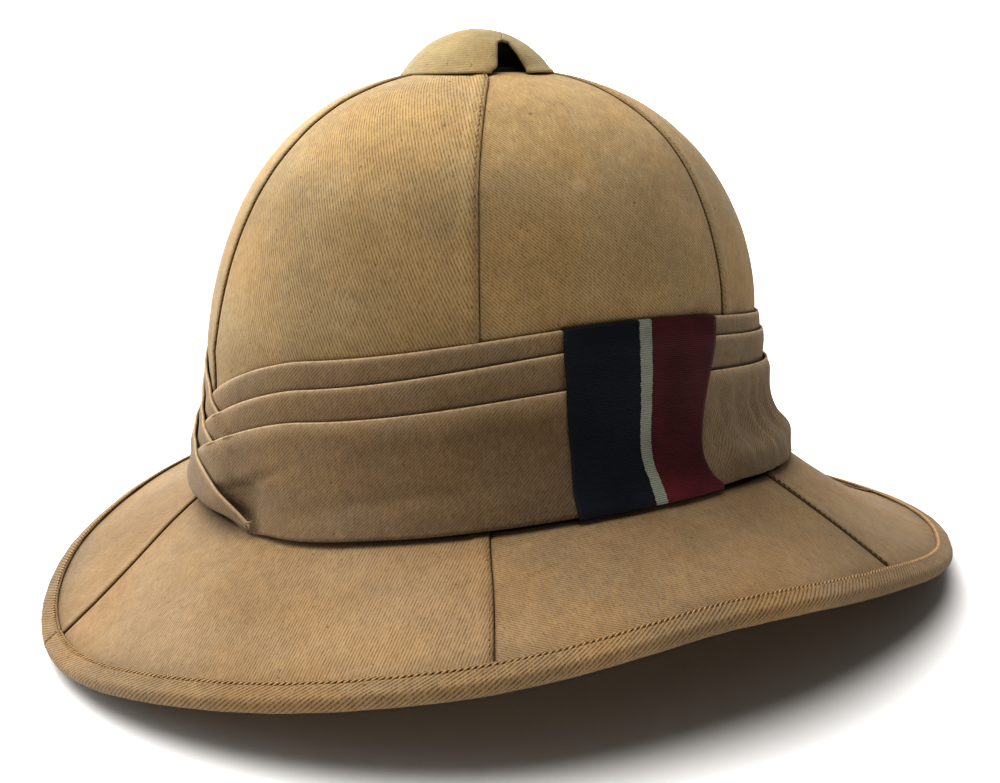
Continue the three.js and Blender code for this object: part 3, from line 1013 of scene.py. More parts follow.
@dataclass
class ClothShell:
    """The crown's gores and the brim's panels. At each seam one cloth laps over the other."""

    form: HelmetForm
    crown_ribs: tuple[float, ...] = (-24, -47, -30, 30, 47, 24)
    brim_ribs: tuple[float, ...] = (-14, -57, -30, 30, 57, 14)
    seam_gap: float = 0.14
    lap_width: float = 5.2
    lap_height: float = 0.42
    edge_roll: float = 0.5
    sink: float = 0.32
    stitch_beside: float = 1.45
    stitch_soil: float = 0.3
    # Painted top light: the crown's colour factors, darker at the band and lighter at the top.
    crown_height_shading: tuple[float, float] = (0.8, 1.1)
    # Painted shade: the brim's drill is the crown's drill darkened to about two thirds.
    brim_shaded_light: Colour = (0.345, 0.239, 0.131, 1)
    brim_shaded_dark: Colour = (0.15, 0.096, 0.048, 1)

    def azimuth(self, gore: Gore, share: float, row: float) -> float:
        """The azimuth at a share across the gore, its points closer together at the seams.

        Args:
            gore: Which of the six.
            share: 0 at the first seam, 1 at the second.
            row: Row of the form.

        Returns:
            Degrees from the front.
        """
        start, end = gore.seams(row)
        packed = 0.5 - 0.5 * math.cos(math.pi * share)
        half_gap = self.form.degrees(self.seam_gap / 2, start, row)
        return lerp(start + half_gap, end - half_gap, lerp(share, packed, 0.75))

    def relief(self, gore: Gore, azimuth: float, row: float) -> float:
        """Millimetres that the cloth stands off the form near its seams, and its gentle unevenness.

        Args:
            gore: Which of the six.
            azimuth: Degrees from the front.
            row: Row of the form.

        Returns:
            Millimetres out of the form.
        """
        radius = self.form.girth_radius(azimuth, row)
        relief = 0.0
        for seam, lap in zip(gore.seams(row), gore.laps):
            near = abs(math.radians(azimuth - seam)) * radius
            if lap is Lap.OVER:
                relief += self.lap_height * (1 - smooth((near - self.lap_width + 1.2) / 2.4))
                relief += 0.12 * bell(near - 1.0, 0.6) - self.edge_roll * bell(near, 0.4)
            else:
                relief -= self.sink * (1 - smooth(near / 2.2))
        point = self.form.surface(azimuth, row)
        return relief + 0.3 * noise.noise(point * 0.03) + 0.1 * noise.noise(point * 0.11)

    def soil_and_shade(self, gore: Gore, azimuth: float, row: float) -> float:
        """How soiled the cloth is, in seams, along stitches, above the band and at the brim's edge, with
        painted shade on the brim beside the band's hem.

        Args:
            gore: Which of the six.
            azimuth: Degrees from the front.
            row: Row of the form.

        Returns:
            0 where clean and unshaded.
        """
        radius = self.form.girth_radius(azimuth, row)
        soil_and_shade = 0.0
        for seam, lap in zip(gore.seams(row), gore.laps):
            near = abs(math.radians(azimuth - seam)) * radius
            soil_and_shade += 0.35 * bell(near, 0.35) + 0.08 * bell(near, 4)
            if lap is Lap.OVER:
                soil_and_shade += self.stitch_soil * bell(near - self.stitch_beside, 0.45)
        if row > 2:
            # Dirt towards the brim's edge, and painted shade on the brim beside the band's hem.
            soil_and_shade += 0.22 * smooth((row - 2.78) * 5) + 0.2 * smooth((2.14 - row) * 9)
        else:
            soil_and_shade += 0.16 * smooth((row - 0.9) * 10)
        return soil_and_shade

    def panel(self, name: str, gore: Gore, top: float, bottom: float, columns: int, rows: int) -> Piece:
        """One cloth panel between two seams and two rows of the form.

        Args:
            name: The piece's name.
            gore: Which of the six.
            top: The row where it starts.
            bottom: The row where it ends.
            columns: Faces across.
            rows: Faces down.

        Returns:
            The panel, a thin closed wall.
        """
        middle = sum(gore.seams(lerp(top, bottom, 0.5))) / 2
        lengths = walks([self.form.surface(middle, lerp(top, bottom, i / rows)) for i in range(rows + 1)])

        def place(s: float, t: float) -> Vector:
            row = lerp(top, bottom, t)
            azimuth = self.azimuth(gore, s, row)
            return self.form.off(azimuth, row, self.relief(gore, azimuth, row))

        def soil_and_shade(s: float, t: float) -> float:
            row = lerp(top, bottom, t)
            return self.soil_and_shade(gore, self.azimuth(gore, s, row), row)

        def cloth(s: float, t: float) -> tuple[float, float]:
            row = lerp(top, bottom, t)
            azimuth = self.azimuth(gore, s, row)
            across = math.radians(azimuth - middle) * self.form.girth_radius(azimuth, row)
            return across * MM, -lengths[round(t * rows)] * MM

        piece = grid_piece(name, columns, rows, place, cloth, soil_and_shade=soil_and_shade)
        declare_sheet(piece, place, columns, rows, "stretched", "cork_body")
        thicken(piece, 0.7)
        return piece

    def build(self) -> None:
        """Makes and dresses all twelve panels."""
        for i, gore in enumerate(Gore):
            crown = self.panel(f"crown_cloth_{gore.label}", gore, 0.0, CROWN_HEM_ROW, 72, 132)
            finish = DrillFinish(
                f"drill_crown_{gore.label}",
                self.crown_ribs[i],
                height_shading=self.crown_height_shading,
                spots=CROWN_SPOTS if gore is Gore.LEFT_SIDE else (),
            )
            settle(crown, finish.make(self.form), "drill", f"crown_gore_{gore.label}")
            brim = self.panel(f"brim_cloth_{gore.label}", gore, *BRIM_HEM_ROWS, 72, 44)
            finish = DrillFinish(
                f"drill_brim_{gore.label}",
                self.brim_ribs[i],
                light=self.brim_shaded_light,
                dark=self.brim_shaded_dark,
                spots=BRIM_SPOTS if gore is Gore.LEFT_FRONT else (),
            )
            settle(brim, finish.make(self.form), "drill", f"brim_panel_{gore.label}")


@dataclass
class CorkBody:
    """The moulded body: only its inside, its underside and its edge show."""

    form: HelmetForm
    crown_cork: float = 5
    brim_cork: float = 2.4

    def wall(self, row: float) -> float:
        """The cork's thickness at a row."""
        return lerp(self.crown_cork, self.brim_cork, smooth(row - 2))

    def build(self) -> None:
        """Makes the inner side as one ring, with its thickness outwards."""
        skin = self.form.cloth + self.form.clearance

        def place(s: float, t: float) -> Vector:
            azimuth, row = -360 * s, lerp(0.0, 3.0, t)
            return self.form.off(azimuth, row, -skin - self.wall(row))

        def cloth(s: float, t: float) -> tuple[float, float]:
            return 0.6 * s, 0.25 * t

        piece = grid_piece("moulded_body", 144, 90, place, cloth, ring=True)
        thicken(piece, self.brim_cork - 0.1)
        cork = (0.36, 0.25, 0.135, 1)
        finish = PlainFinish("cork_facing", cork, roughness=0.9, grain=500, depth=0.25, mottle=0.25)
        settle(piece, finish.make(), "cork", "cork_body")


@dataclass
class Binding:
    """The bias strip folded round the brim's edge, sunk along its line of stitches."""

    form: HelmetForm
    width: float = 5.5
    cloth: float = 0.8
    nose: float = 1.2
    under: float = 4.0
    stitch_in: float = 1.0
    groove: float = 0.35
    top_shares: tuple[float, ...] = (0.0, 0.07, 0.13, 0.18, 0.23, 0.3, 0.4, 0.55, 0.78)

    def section(self, azimuth: float) -> list[tuple[Vector, float]]:
        """The strip's outer line in section, from its upper lip to its lower, with the soil at each point.

        Args:
            azimuth: Degrees from the front.

        Returns:
            Points in the form's millimetres, each with its soil.
        """
        form = self.form
        edge = form.surface(azimuth, 3)
        out = form.downward(azimuth, 3)
        up = form.outward(azimuth, 3)
        row = form.row_from_edge(azimuth, self.width)
        top = form.clearance + self.cloth
        lip = form.surface(azimuth, row) + form.outward(azimuth, row) * top
        low = form.surface(azimuth, row) - form.outward(azimuth, row) * (self.under + self.cloth)
        full = form.clearance + self.cloth + self.nose
        half = (self.under + self.cloth + top) / 2
        centre = edge + up * (top - half)
        bends = 12
        line = [(lip - up * 0.8 - out * 0.1, 0.6)]
        for share in self.top_shares:
            sunk = self.groove * bell(share - 0.17, 0.07) - 0.16 * bell(share - 0.36, 0.08)
            line.append((lip.lerp(edge + up * top, share) - up * sunk, 0.85 * bell(share - 0.17, 0.075)))
        for step in range(bends + 1):
            turn = math.pi * (0.5 - step / bends)
            point = centre + out * (full * math.cos(turn)) + up * (half * math.sin(turn))
            line.append((point, 0.12 * step / bends))
        below = edge - up * (self.under + self.cloth)
        line += [(below.lerp(low, share), 0.2) for share in (0.5, 1.0)]
        line.append((low + up * 0.7, 0.3))
        return line

    def build(self) -> None:
        """Makes the strip."""
        count = len(self.section(0)) - 1
        columns = 540
        sections: list[list[Vector]] = []
        grime: list[list[float]] = []
        for i in range(columns + 1):
            azimuth = 360 * i / columns
            line = self.section(azimuth)
            ripple = 0.2 * noise.noise(Vector((azimuth * 0.35, 2.0, 0.5)))
            sections.append([self.form.placed(p + self.form.outward(azimuth, 3) * ripple) for p, _ in line])
            grime.append([value for _, value in line])
        along = walks([line[12] for line in sections])
        down = walks(sections[0])

        def place(s: float, t: float) -> Vector:
            return sections[round(s * columns)][round(t * count)]

        def cloth(s: float, t: float) -> tuple[float, float]:
            return along[round(s * columns)], -down[round(t * count)]

        def soil_and_shade(s: float, t: float) -> float:
            return grime[round(s * columns)][round(t * count)]

        piece = grid_piece("bias_binding", columns, count, place, cloth, soil_and_shade=soil_and_shade, ring=True)
        declare_sheet(piece, place, columns, count, "folded", "cork_body")
        thicken(piece, 0.45)
        finish = DrillFinish(
            "drill_binding",
            55,
            pitch=1.15,
            groove=1.0,
            light=(0.315, 0.216, 0.114, 1),
            dark=(0.112, 0.071, 0.036, 1),
        )
        settle(piece, finish.make(self.form), "drill_binding", "brim_binding")


@dataclass(frozen=True)
class Tier:
    """One fold of the wound band, its fold's place down the wall at the sides and at the front."""

    name: str
    top: float
    top_at_front: float
    layer: int


FOLD_TURN = (0.22, 0.4)


@dataclass
class WoundBand:
    """The cloth band in three tiers, each wound once round and crossing its own end at the front.

    Where both windings of a tier lie over each other, the later one stands off by the layers under it. So the
    tiers lie at the front as upper, upper again, middle, middle again, lower, lower again, outwards.
    """

    form: HelmetForm
    tiers: tuple[Tier, ...] = (
        Tier("upper", 0.0, 0.0, 0),
        Tier("middle", 0.12, 0.17, 1),
        Tier("lower", 0.33, 0.35, 2),
    )
    cloth: float = 1.15
    pitch: float = 1.75
    crossing_pitch: float = 1.45
    overlap: float = 0.1
    crossing_half: float = 22.875
    ends: tuple[float, ...] = (9.0, 9.0, 17.9)
    dip_start: float = 26
    dip_at_centre: float = 0.27
    dip_power: float = 1.7
    knee: float = 0.84
    hem_places: tuple[float, ...] = (-60, -30, -10, 0, 10, 18, 30, 45, 62, 76, 96, 112, 128, 145, 180)
    hem_outs: tuple[float, ...] = (4.0, 4.4, 3.6, 1.8, 1.8, 3.9, 5.2, 4.2, 3.8, 3.4, 2.4, 1.7, 2.2, 2.4, 3.0)
    hem_stand: float = 1.0
    hem_lift: float = 1.1
    hem_bend: float = 6
    wrinkles: float = 21
    wrinkle_depth: float = 2.0
    bulge: float = 2.5
    waist: float = 0.9
    end_lift: float = 1.5
    pinch_depth: float = 2.1
    arm_depth: float = 1.2
    tuck_depth: float = 0.6
    light: Colour = (0.28, 0.2, 0.118, 1)
    dark: Colour = (0.11, 0.074, 0.041, 1)

    def dip(self, travel: float) -> float:
        """How far down the wall a fold has gone, by degrees past the front."""
        return self.dip_at_centre * max(0.0, (travel + self.dip_start) / self.dip_start) ** self.dip_power

    def fold_share(self, tier: Tier, running: float) -> float:
        """Where a tier's fold runs, as a share down the wall.

        Args:
            tier: The tier.
            running: Degrees wound from the front.

        Returns:
            0 at the band line, 1 at the hem.
        """
        from_front = min(abs(running), abs(360 - running))
        level = lerp(tier.top_at_front, tier.top, smooth(from_front / 90))
        return level + self.dip(-running) + self.dip(running - 360)

    def first_winding(self, tier: Tier, azimuth: float, share: float, softness: float = 0.05) -> float:
        """How much of a tier's first winding lies at a place, from 0 to 1."""
        begun = smooth((azimuth + self.crossing_half + 6.5) / 6)
        return begun * smooth((share - self.fold_share(tier, azimuth) + softness * 0.4) / softness)

    def last_winding(self, tier: Tier, azimuth: float, share: float) -> float:
        """How much of a tier's last winding lies at a place, from 0 to 1."""
        left = 1 - smooth((azimuth - self.ends[tier.layer]) / 8)
        return left * smooth((share - self.fold_share(tier, azimuth + 360) + 0.01) / 0.05)

    def stand_off(self, tier: Tier, running: float, share: float) -> float:
        """Millimetres from the crown to a tier's inner side.

        Args:
            tier: The tier.
            running: Degrees wound from the front, past 360 where it crosses its start.
            share: 0 at the band line, 1 at the hem.

        Returns:
            The clearance and the thickness of the layers between.
        """
        late = running > 180
        azimuth = running - 360 if late else running
        layers = 0.0
        for other in self.tiers[: tier.layer + 1]:
            under = other.layer < tier.layer
            if under or late:
                layers += self.first_winding(other, azimuth, share, 0.18 if late else 0.05)
            if under:
                layers += self.last_winding(other, azimuth, share)
        near = 1 - smooth((abs(azimuth) - self.crossing_half) / self.crossing_half)
        return self.form.clearance + layers * lerp(self.pitch, self.crossing_pitch, near)

    def ripple(self, running: float, share: float, tier: Tier) -> float:
        """Soft folds and slackness of the cloth, in millimetres.

        Args:
            running: Degrees wound from the front.
            share: 0 at the band line, 1 at the hem.
            tier: The tier.

        Returns:
            Millimetres outwards.
        """
        turn = math.radians(running)
        round_head = Vector((math.cos(turn), math.sin(turn), 0))
        up = Vector((0, 0, 1))
        slack = 0.28 * noise.noise(round_head * 6 + up * (share * 3 + tier.layer * 7))
        slack += 0.4 * bell(share - self.fold_share(tier, running) - 0.09, 0.07)
        if tier.layer < 2:
            return slack
        back = smooth((running - 106) / 14) * (1 - smooth((running - 250) / 40))
        folds = self.wrinkle_depth * noise.noise(round_head * self.wrinkles + up * (share * 1.6))
        slack += back * (folds * bell(share - 0.68, 0.26) + self.bulge * bell(share - 0.89, 0.09))
        slack -= back * self.waist * bell(share - 0.62, 0.14)
        if running > 180:
            return slack + self.end_lift * smooth((running - 368) / 9)
        return slack - self.pinch(running, share)

    def pinch(self, running: float, share: float) -> float:
        """How far the lowest tier is drawn in beside the last winding's end, in millimetres.

        Args:
            running: Degrees wound from the front.
            share: 0 at the band line, 1 at the hem.

        Returns:
            Millimetres inwards.
        """
        hollow = self.pinch_depth * bell(running - 15, 4.5) * smooth((share - 0.7) / 0.12)
        arm = self.arm_depth * bell(share - 0.74 - 0.012 * (15 - running), 0.035) * bell(running - 17, 5)
        tuck = share - lerp(0.9, 0.82, smooth((running - 15) / 40))
        tucked = self.tuck_depth * bell(tuck, 0.05) * smooth((running - 12) / 8)
        return hollow + arm + tucked * (1 - smooth((running - 50) / 20))

    def crease_shade(self, running: float, share: float) -> float:
        """Painted shade in the pinched crease where the last winding's end lies on the lowest tier.

        Args:
            running: Degrees wound from the front.
            share: 0 at the band line, 1 at the hem.

        Returns:
            0 outside the crease.
        """
        gap = 0.7 * bell(running - 10 - 35 * (share - 0.8), 2.2) * smooth((share - 0.74) / 0.06)
        arm = 0.4 * bell(share - 0.775 + 0.005 * (running - 9), 0.022)
        return gap + arm * smooth((running - 6) / 3) * (1 - smooth((running - 12) / 8))

    def hem_row(self, running: float, past: float = 0.0) -> float:
        """The brim's row under the hem, or some millimetres past it.

        Args:
            running: Degrees wound from the front.
            past: Millimetres beyond the hem.

        Returns:
            The row.
        """
        azimuth = (running + 180) % 360 - 180
        azimuth = -azimuth if azimuth < -60 else azimuth
        i, t = stretch(self.hem_places, azimuth)
        out = lerp(self.hem_outs[i], self.hem_outs[i + 1], smooth(t))
        return 2 + (out + past) / self.form.reach(running)

    def hem_path(self, tier: Tier, running: float, share: float, lift: float) -> Vector:
        """A point of the lowest tier's outer face: down the wall, then out to the hem on the brim.

        Args:
            tier: The lowest tier.
            running: Degrees wound from the front.
            share: 0 at the band line, 1 at the hem.
            lift: Millimetres off the tier's outer face.

        Returns:
            The point in the row frame.
        """
        form = self.form
        stand = self.stand_off(tier, running, share) + self.cloth + lift
        if share <= self.knee:
            return form.off(running, 1 + share, stand)
        over = (share - self.knee) / (1 - self.knee)
        knee_stand = self.stand_off(tier, running, self.knee) + self.cloth + lift
        start = form.off(running, 1 + self.knee, knee_stand)
        crossed = self.first_winding(tier, running - 360, 1.0) if running > 180 else 0.0
        end_stand = self.hem_stand + self.cloth + lift + self.hem_lift * crossed
        end = form.off(running, self.hem_row(running, crossed * 0.4), end_stand)
        above = form.off(running, 1 + self.knee - 0.05, knee_stand)
        bend = start + (start - above).normalized() * (self.hem_bend * MM)
        return start.lerp(bend, over).lerp(bend.lerp(end, over), over)

    def tier_point(self, tier: Tier, running: float, t: float) -> Vector:
        """A point of a tier, from behind its fold (t 0) over the fold and down to its lower edge (t 1).

        Args:
            tier: The tier.
            running: Degrees wound from the front.
            t: Share down the tier's own section.

        Returns:
            The point in the row frame.
        """
        form = self.form
        limit = 0.985 if tier.layer == 2 else 0.94
        top = min(self.fold_share(tier, running), limit)
        wall_height = form.band_line.height(running) - form.junction_line.height(running)
        half = self.cloth / 2
        stand = self.stand_off(tier, running, top + 0.03)
        turned_at, turned = FOLD_TURN
        if t < turned_at:
            behind = 1 + top + 0.05 * (turned_at - t) / turned_at + half / wall_height
            return form.off(running, min(CROWN_HEM_ROW, behind), stand + 0.12)
        if t < turned:
            turn = math.pi * (t - turned_at) / (turned - turned_at)
            share = top + half / wall_height * (1 - math.sin(turn))
            return form.off(running, 1 + share, stand + 0.12 + (half - 0.06) * (1 - math.cos(turn)))
        down = (t - turned) / (1 - turned)
        start = top + half / wall_height
        settled = smooth((down - 0.02) / 0.06)
        if tier.layer == 2:
            share = lerp(start, 1.0, down)
            return self.hem_path(tier, running, share, self.ripple(running, share, tier) * settled)
        below = self.tiers[tier.layer + 1]
        bottom = max(min(self.fold_share(below, running) + self.overlap, 0.96), top + 0.03)
        share = lerp(start, bottom, down)
        lift = self.ripple(running, share, tier) * settled * (1 - smooth((down - 0.5) / 0.3))
        return form.off(running, 1 + share, self.stand_off(tier, running, share) + self.cloth + lift)

    def build_tier(self, tier: Tier) -> None:
        """Makes one tier.

        Args:
            tier: The tier.
        """
        columns = 380
        rows = 50 if tier.layer == 2 else 32
        first = -self.crossing_half
        last = 360 + self.ends[tier.layer]

        def place(s: float, t: float) -> Vector:
            return self.tier_point(tier, lerp(first, last, s), t)

        along = walks([place(i / columns, 0.45) for i in range(columns + 1)])

        def cloth(s: float, t: float) -> tuple[float, float]:
            running = lerp(first, last, s)
            flat = (self.form.band_line.height(running) + self.form.shift[1]) * MM
            return along[round(s * columns)], place(s, t).z - flat

        def soil_and_shade(s: float, t: float) -> float:
            low = smooth((t - 0.86) / 0.14) if tier.layer == 2 else smooth((t - 0.5) / 0.2) * 0.5
            running = lerp(first, last, s)
            # Painted shade on the lowest tier round azimuth 70, the side turned from the light.
            painted_shade = 0.42 * bell(running - 70, 32) * smooth((t - 0.45) / 0.1) if tier.layer == 2 else 0.0
            # Painted shade on the cloth that goes behind the fold.
            tucked_shade = 0.7 * (1 - smooth((t - 0.16) / 0.1))
            if tier.layer == 2 and running < 180:
                down = (t - FOLD_TURN[1]) / (1 - FOLD_TURN[1])
                # Painted shade in the pinched crease.
                painted_shade += self.crease_shade(running, lerp(self.fold_share(tier, running), 1.0, down))
            # The fold's crest is lightened: rubbed cloth, partly a painted highlight.
            return 0.18 * low + painted_shade + tucked_shade - 0.8 * bell(t - 0.35, 0.06)

        piece = grid_piece(f"band_cloth_{tier.name}", columns, rows, place, cloth, soil_and_shade=soil_and_shade)
        declare_sheet(piece, place, columns, rows, "folded", "cork_body")
        thicken(piece, 0.35)
        finish = DrillFinish(f"drill_band_{tier.name}", 45, light=self.light, dark=self.dark, fade=0.14)
        settle(piece, finish.make(self.form), "drill_band", f"band_{tier.name}_tier")

    def build(self) -> None:
        """Makes all the tiers."""
        for tier in self.tiers:
            self.build_tier(tier)


@dataclass(frozen=True)
class RibbonEdge:
    """The ribbon at a share down the band: its reach to the front and back, and its stripe, all by width."""

    share: float
    front: float
    back: float
    stripe: float


@dataclass
class RibbonFlash:
    """The striped ribbon on the wearer's left, tucked in at its top and curled under the band at its foot."""

    form: HelmetForm
    band: WoundBand
    azimuth: float = 96
    width: float = 55
    cloth: float = 0.8
    edges: tuple[RibbonEdge, ...] = (
        RibbonEdge(0.0, 0.516, 0.587, 0.483),
        RibbonEdge(0.1, 0.542, 0.56, 0.485),
        RibbonEdge(0.2, 0.544, 0.551, 0.486),
        RibbonEdge(0.36, 0.555, 0.487, 0.505),
        RibbonEdge(0.5, 0.557, 0.438, 0.521),
        RibbonEdge(0.65, 0.562, 0.384, 0.521),
        RibbonEdge(0.75, 0.575, 0.342, 0.525),
        RibbonEdge(0.84, 0.593, 0.322, 0.536),
        RibbonEdge(0.9, 0.608, 0.326, 0.549),
        RibbonEdge(0.95, 0.611, 0.355, 0.54),
        RibbonEdge(1.0, 0.613, 0.416, 0.511),
    )
    hem_shares: tuple[float, ...] = (0.37, 0.45, 0.54, 0.62, 0.7, 0.77, 0.84, 0.88, 0.92, 0.96, 1.0)
    corner_lift: float = 1.1
    stripe_middle: float = 0.515

    def reach(self, share: float) -> tuple[float, float, float]:
        """The reaches in millimetres to the front and back, and the stripe's middle, at a share down.

        Args:
            share: 0 at the band line, 1 at the hem.

        Returns:
            Front reach, back reach and the stripe's middle.
        """
        i, t = stretch(tuple(edge.share for edge in self.edges), share)
        a, b = self.edges[i], self.edges[i + 1]
        front, back = lerp(a.front, b.front, t), lerp(a.back, b.back, t)
        return self.width * front, self.width * back, lerp(a.stripe, b.stripe, t)

    def path(self, azimuth: float) -> list[tuple[Vector, float]]:
        """The ribbon's outer face down one azimuth, from behind the top fold to under the hem.

        Args:
            azimuth: Degrees from the front.

        Returns:
            Points in metres, each with its share down the band.
        """
        form, band = self.form, self.band
        lower = band.tiers[2]
        off_band = 0.35 + self.cloth
        first = form.clearance + band.cloth + off_band
        second, third = first + band.pitch, first + 2 * band.pitch
        points = [
            (form.off(azimuth, 1.04, 0.2), 0.0),
            (form.off(azimuth, 1.006, 0.3), 0.0),
            (form.off(azimuth, 0.995, 1.1), 0.0),
            (form.off(azimuth, 1.004, first - 0.3), 0.0),
            (form.off(azimuth, 1.03, first + 0.3), 0.03),
            (form.off(azimuth, 1.1, second), 0.1),
            (form.off(azimuth, 1.2, second + 0.6), 0.2),
            (form.off(azimuth, 1.3, third - 0.2), 0.3),
        ]
        points += [(band.hem_path(lower, azimuth, share, off_band), share) for share in self.hem_shares]
        points.append((form.off(azimuth, band.hem_row(azimuth, 1.0), band.hem_stand + 0.5), 1.0))
        points.append((form.off(azimuth, band.hem_row(azimuth, -1.5), 0.3), 1.0))
        return points

    def build(self) -> None:
        """Makes the ribbon."""
        columns, per = 48, 4
        middle = self.path(self.azimuth)
        rows = (len(middle) - 1) * per

        def line(i: int) -> list[Vector]:
            points = []
            for j, (centre, share) in enumerate(middle):
                front, back, _ = self.reach(share)
                radius = math.hypot(centre.x, centre.y - self.form.shift[0] * MM) / MM
                azimuth = self.azimuth + math.degrees(lerp(-front, back, i / columns) / radius)
                point = self.path(azimuth)[j][0]
                corner = smooth((i / columns - 0.8) / 0.2) * (1 - smooth(share / 0.3))
                loose = self.corner_lift * corner if j > 2 else 0.0
                puff = 0.35 * noise.noise(Vector((i / columns * 3, share * 5, 1.7)))
                loose += puff * smooth(share / 0.1) * (1 - smooth((share - 0.9) / 0.1))
                points.append(point + self.form.outward(azimuth, 1 + share * 0.9) * (loose * MM))
            return smooth_line(points, per)

        lines = [line(i) for i in range(columns + 1)]
        down = walks(lines[columns // 2])

        def place(s: float, t: float) -> Vector:
            return lines[round(s * columns)][round(t * rows)]

        def cloth(s: float, t: float) -> tuple[float, float]:
            place_down = t * (len(middle) - 1)
            j = min(int(place_down), len(middle) - 2)
            share = lerp(middle[j][1], middle[j + 1][1], place_down - j)
            bend = self.reach(share)[2] - self.stripe_middle
            return (s - bend * 4 * s * (1 - s)) * self.width * MM, -down[round(t * rows)]

        # Painted highlight: the ribbon's lower part, where it flares up, takes the lighter foot colours.
        def lit_flare(s: float, t: float) -> float:
            return smooth((t - 0.72) / 0.2)

        piece = grid_piece("ribbon_stripes", columns, rows, place, cloth, soil_and_shade=lit_flare)
        declare_sheet(piece, place, columns, rows, "folded", "band_lower_tier")
        thicken(piece, 0.5)
        settle(piece, RibbonFinish().make(), "ribbon", "ribbon_flash")


def smooth_line(points: list[Vector], per: int) -> list[Vector]:
    """A smooth curve through points.

    Args:
        points: The points to pass through.
        per: Steps from each point to the next.

    Returns:
        The curve's points, the first and last as given.
    """
    last = len(points) - 1
    line = [points[0]]
    for i in range(last):
        near = (points[max(0, i - 1)], points[i], points[i + 1], points[min(last, i + 2)])
        line += [through(*near, step / per) for step in range(1, per + 1)]
    return line


@dataclass
class Ventilator:
    """The cloth-covered cap over the crown's hole, with a torn notch in its rim.

    The notch's sides are given as places across the cap, seen from notch_view: the first side is upright, and
    the second runs outwards in a curve to the rim.
    """

    form: HelmetForm
    radius: float = 26.6
    rise: float = 15
    lift: float = 1.4
    rim_roll: float = 0.5
    notch_view: float = 64.65
    notch_height: float = 10.6
    notch_start: float = 7.2
    notch_top: float = 3.2
    notch_foot: float = 11.2
    dome_share: float = 0.86
    light: Colour = (0.48, 0.38, 0.21, 1)
    dark: Colour = (0.25, 0.185, 0.09, 1)

    @cached_property
    def rim_height(self) -> float:
        """Height of the rim in the form's millimetres."""
        return self.form.surface(90, 0).z + self.lift - 1.2

    @cached_property
    def axis(self) -> float:
        """The cap's axis along Y, in the form's millimetres."""
        return self.form.apex_shift * (1 - self.form.vent_radius / self.form.dome.side) + self.form.vent_shift

    def notch(self, radius: float, height: float) -> tuple[float, float]:
        """The azimuths of the notch's two sides at a radius and height of the cap.

        Args:
            radius: The cap's radius there.
            height: Millimetres above the rim.

        Returns:
            Degrees from the front.
        """
        level = max(height, 0.0) / self.notch_height
        opened = 1 - smooth((level - 0.93) / 0.09)
        first = self.notch_start - 1.4 * (1 - smooth(height / 2.2))
        span = self.notch_top + (self.notch_foot - self.notch_top) * (1 - min(1.0, level)) ** 0.85
        middle = first + span / 2
        half = (span / 2 + 0.7 * (1 - smooth(height / 2.2))) * opened
        shares = [x / max(radius, 8.0) for x in (middle - half, middle + half)]
        start, end = (math.degrees(math.asin(max(-0.98, min(0.98, share)))) for share in shares)
        return self.notch_view + start, self.notch_view + end

    def build(self) -> None:
        """Makes the cap as one sheet slit at the notch."""
        sphere = (self.radius**2 + self.rise**2) / (2 * self.rise)
        columns, rows = 144, 72
        rim = math.asin((sphere - self.rise) / sphere)

        def place(s: float, t: float) -> Vector:
            if t < self.dome_share:
                angle = lerp(math.pi / 2, rim, t / self.dome_share)
                radius, height = sphere * math.cos(angle), sphere * math.sin(angle) - sphere + self.rise
                radius += self.rim_roll * bell(height, 1.1)
            else:
                under = (t - self.dome_share) / (1 - self.dome_share)
                radius = self.radius + self.rim_roll + 0.25 * math.sin(math.pi * under) - 2.9 * under**2
                height = -0.8 * math.sin(math.pi * under) + 0.3 * under
            start, end = self.notch(radius, height)
            azimuth = lerp(end, start + 360, s)
            turn = math.radians(azimuth)
            uneven = 0.3 * noise.noise(Vector((radius * 0.12, azimuth * 0.02, height * 0.2)))
            uneven -= 0.5 * bell(min(s, 1 - s) * columns, 2.5) * smooth(1 - height / self.notch_height)
            across = Vector((math.sin(turn), -math.cos(turn), 0)) * (radius + uneven)
            return self.form.placed(across + Vector((0, self.axis, self.rim_height + height + uneven * 0.5)))

        def cloth(s: float, t: float) -> tuple[float, float]:
            return s * 2 * math.pi * self.radius * MM, -t * 32 * MM

        def soil_and_shade(s: float, t: float) -> float:
            torn = bell(min(s, 1 - s) * columns, 1.2) * (t > 0.45)
            return 0.35 * torn + 0.3 * smooth((t - self.dome_share) / 0.1)

        piece = grid_piece("ventilator_cloth", columns, rows, place, cloth, soil_and_shade=soil_and_shade, ring=True)
        thicken(piece, 1.0)
        finish = DrillFinish("drill_cap", 88, groove=0.5, light=self.light, dark=self.dark)
        settle(piece, finish.make(self.form), "drill", "ventilator_cap")
        inside = PlainFinish("cap_lining", (0.3, 0.28, 0.19, 1), roughness=0.9, grain=300)
        piece.data.materials.append(inside.make())
        piece.modifiers["wall"].material_offset = 1


@dataclass(frozen=True)
class Thread:
    """One kind of stitch: length, thickness and pitch in millimetres, and turn from the seam in degrees."""

    length: float
    thick: float
    pitch: float
    slant: float


ROPE = Thread(2.5, 0.75, 1.9, 33)
FELL = Thread(1.7, 0.48, 2.1, -24)
SINK = Thread(1.6, 0.4, 2.5, -8)


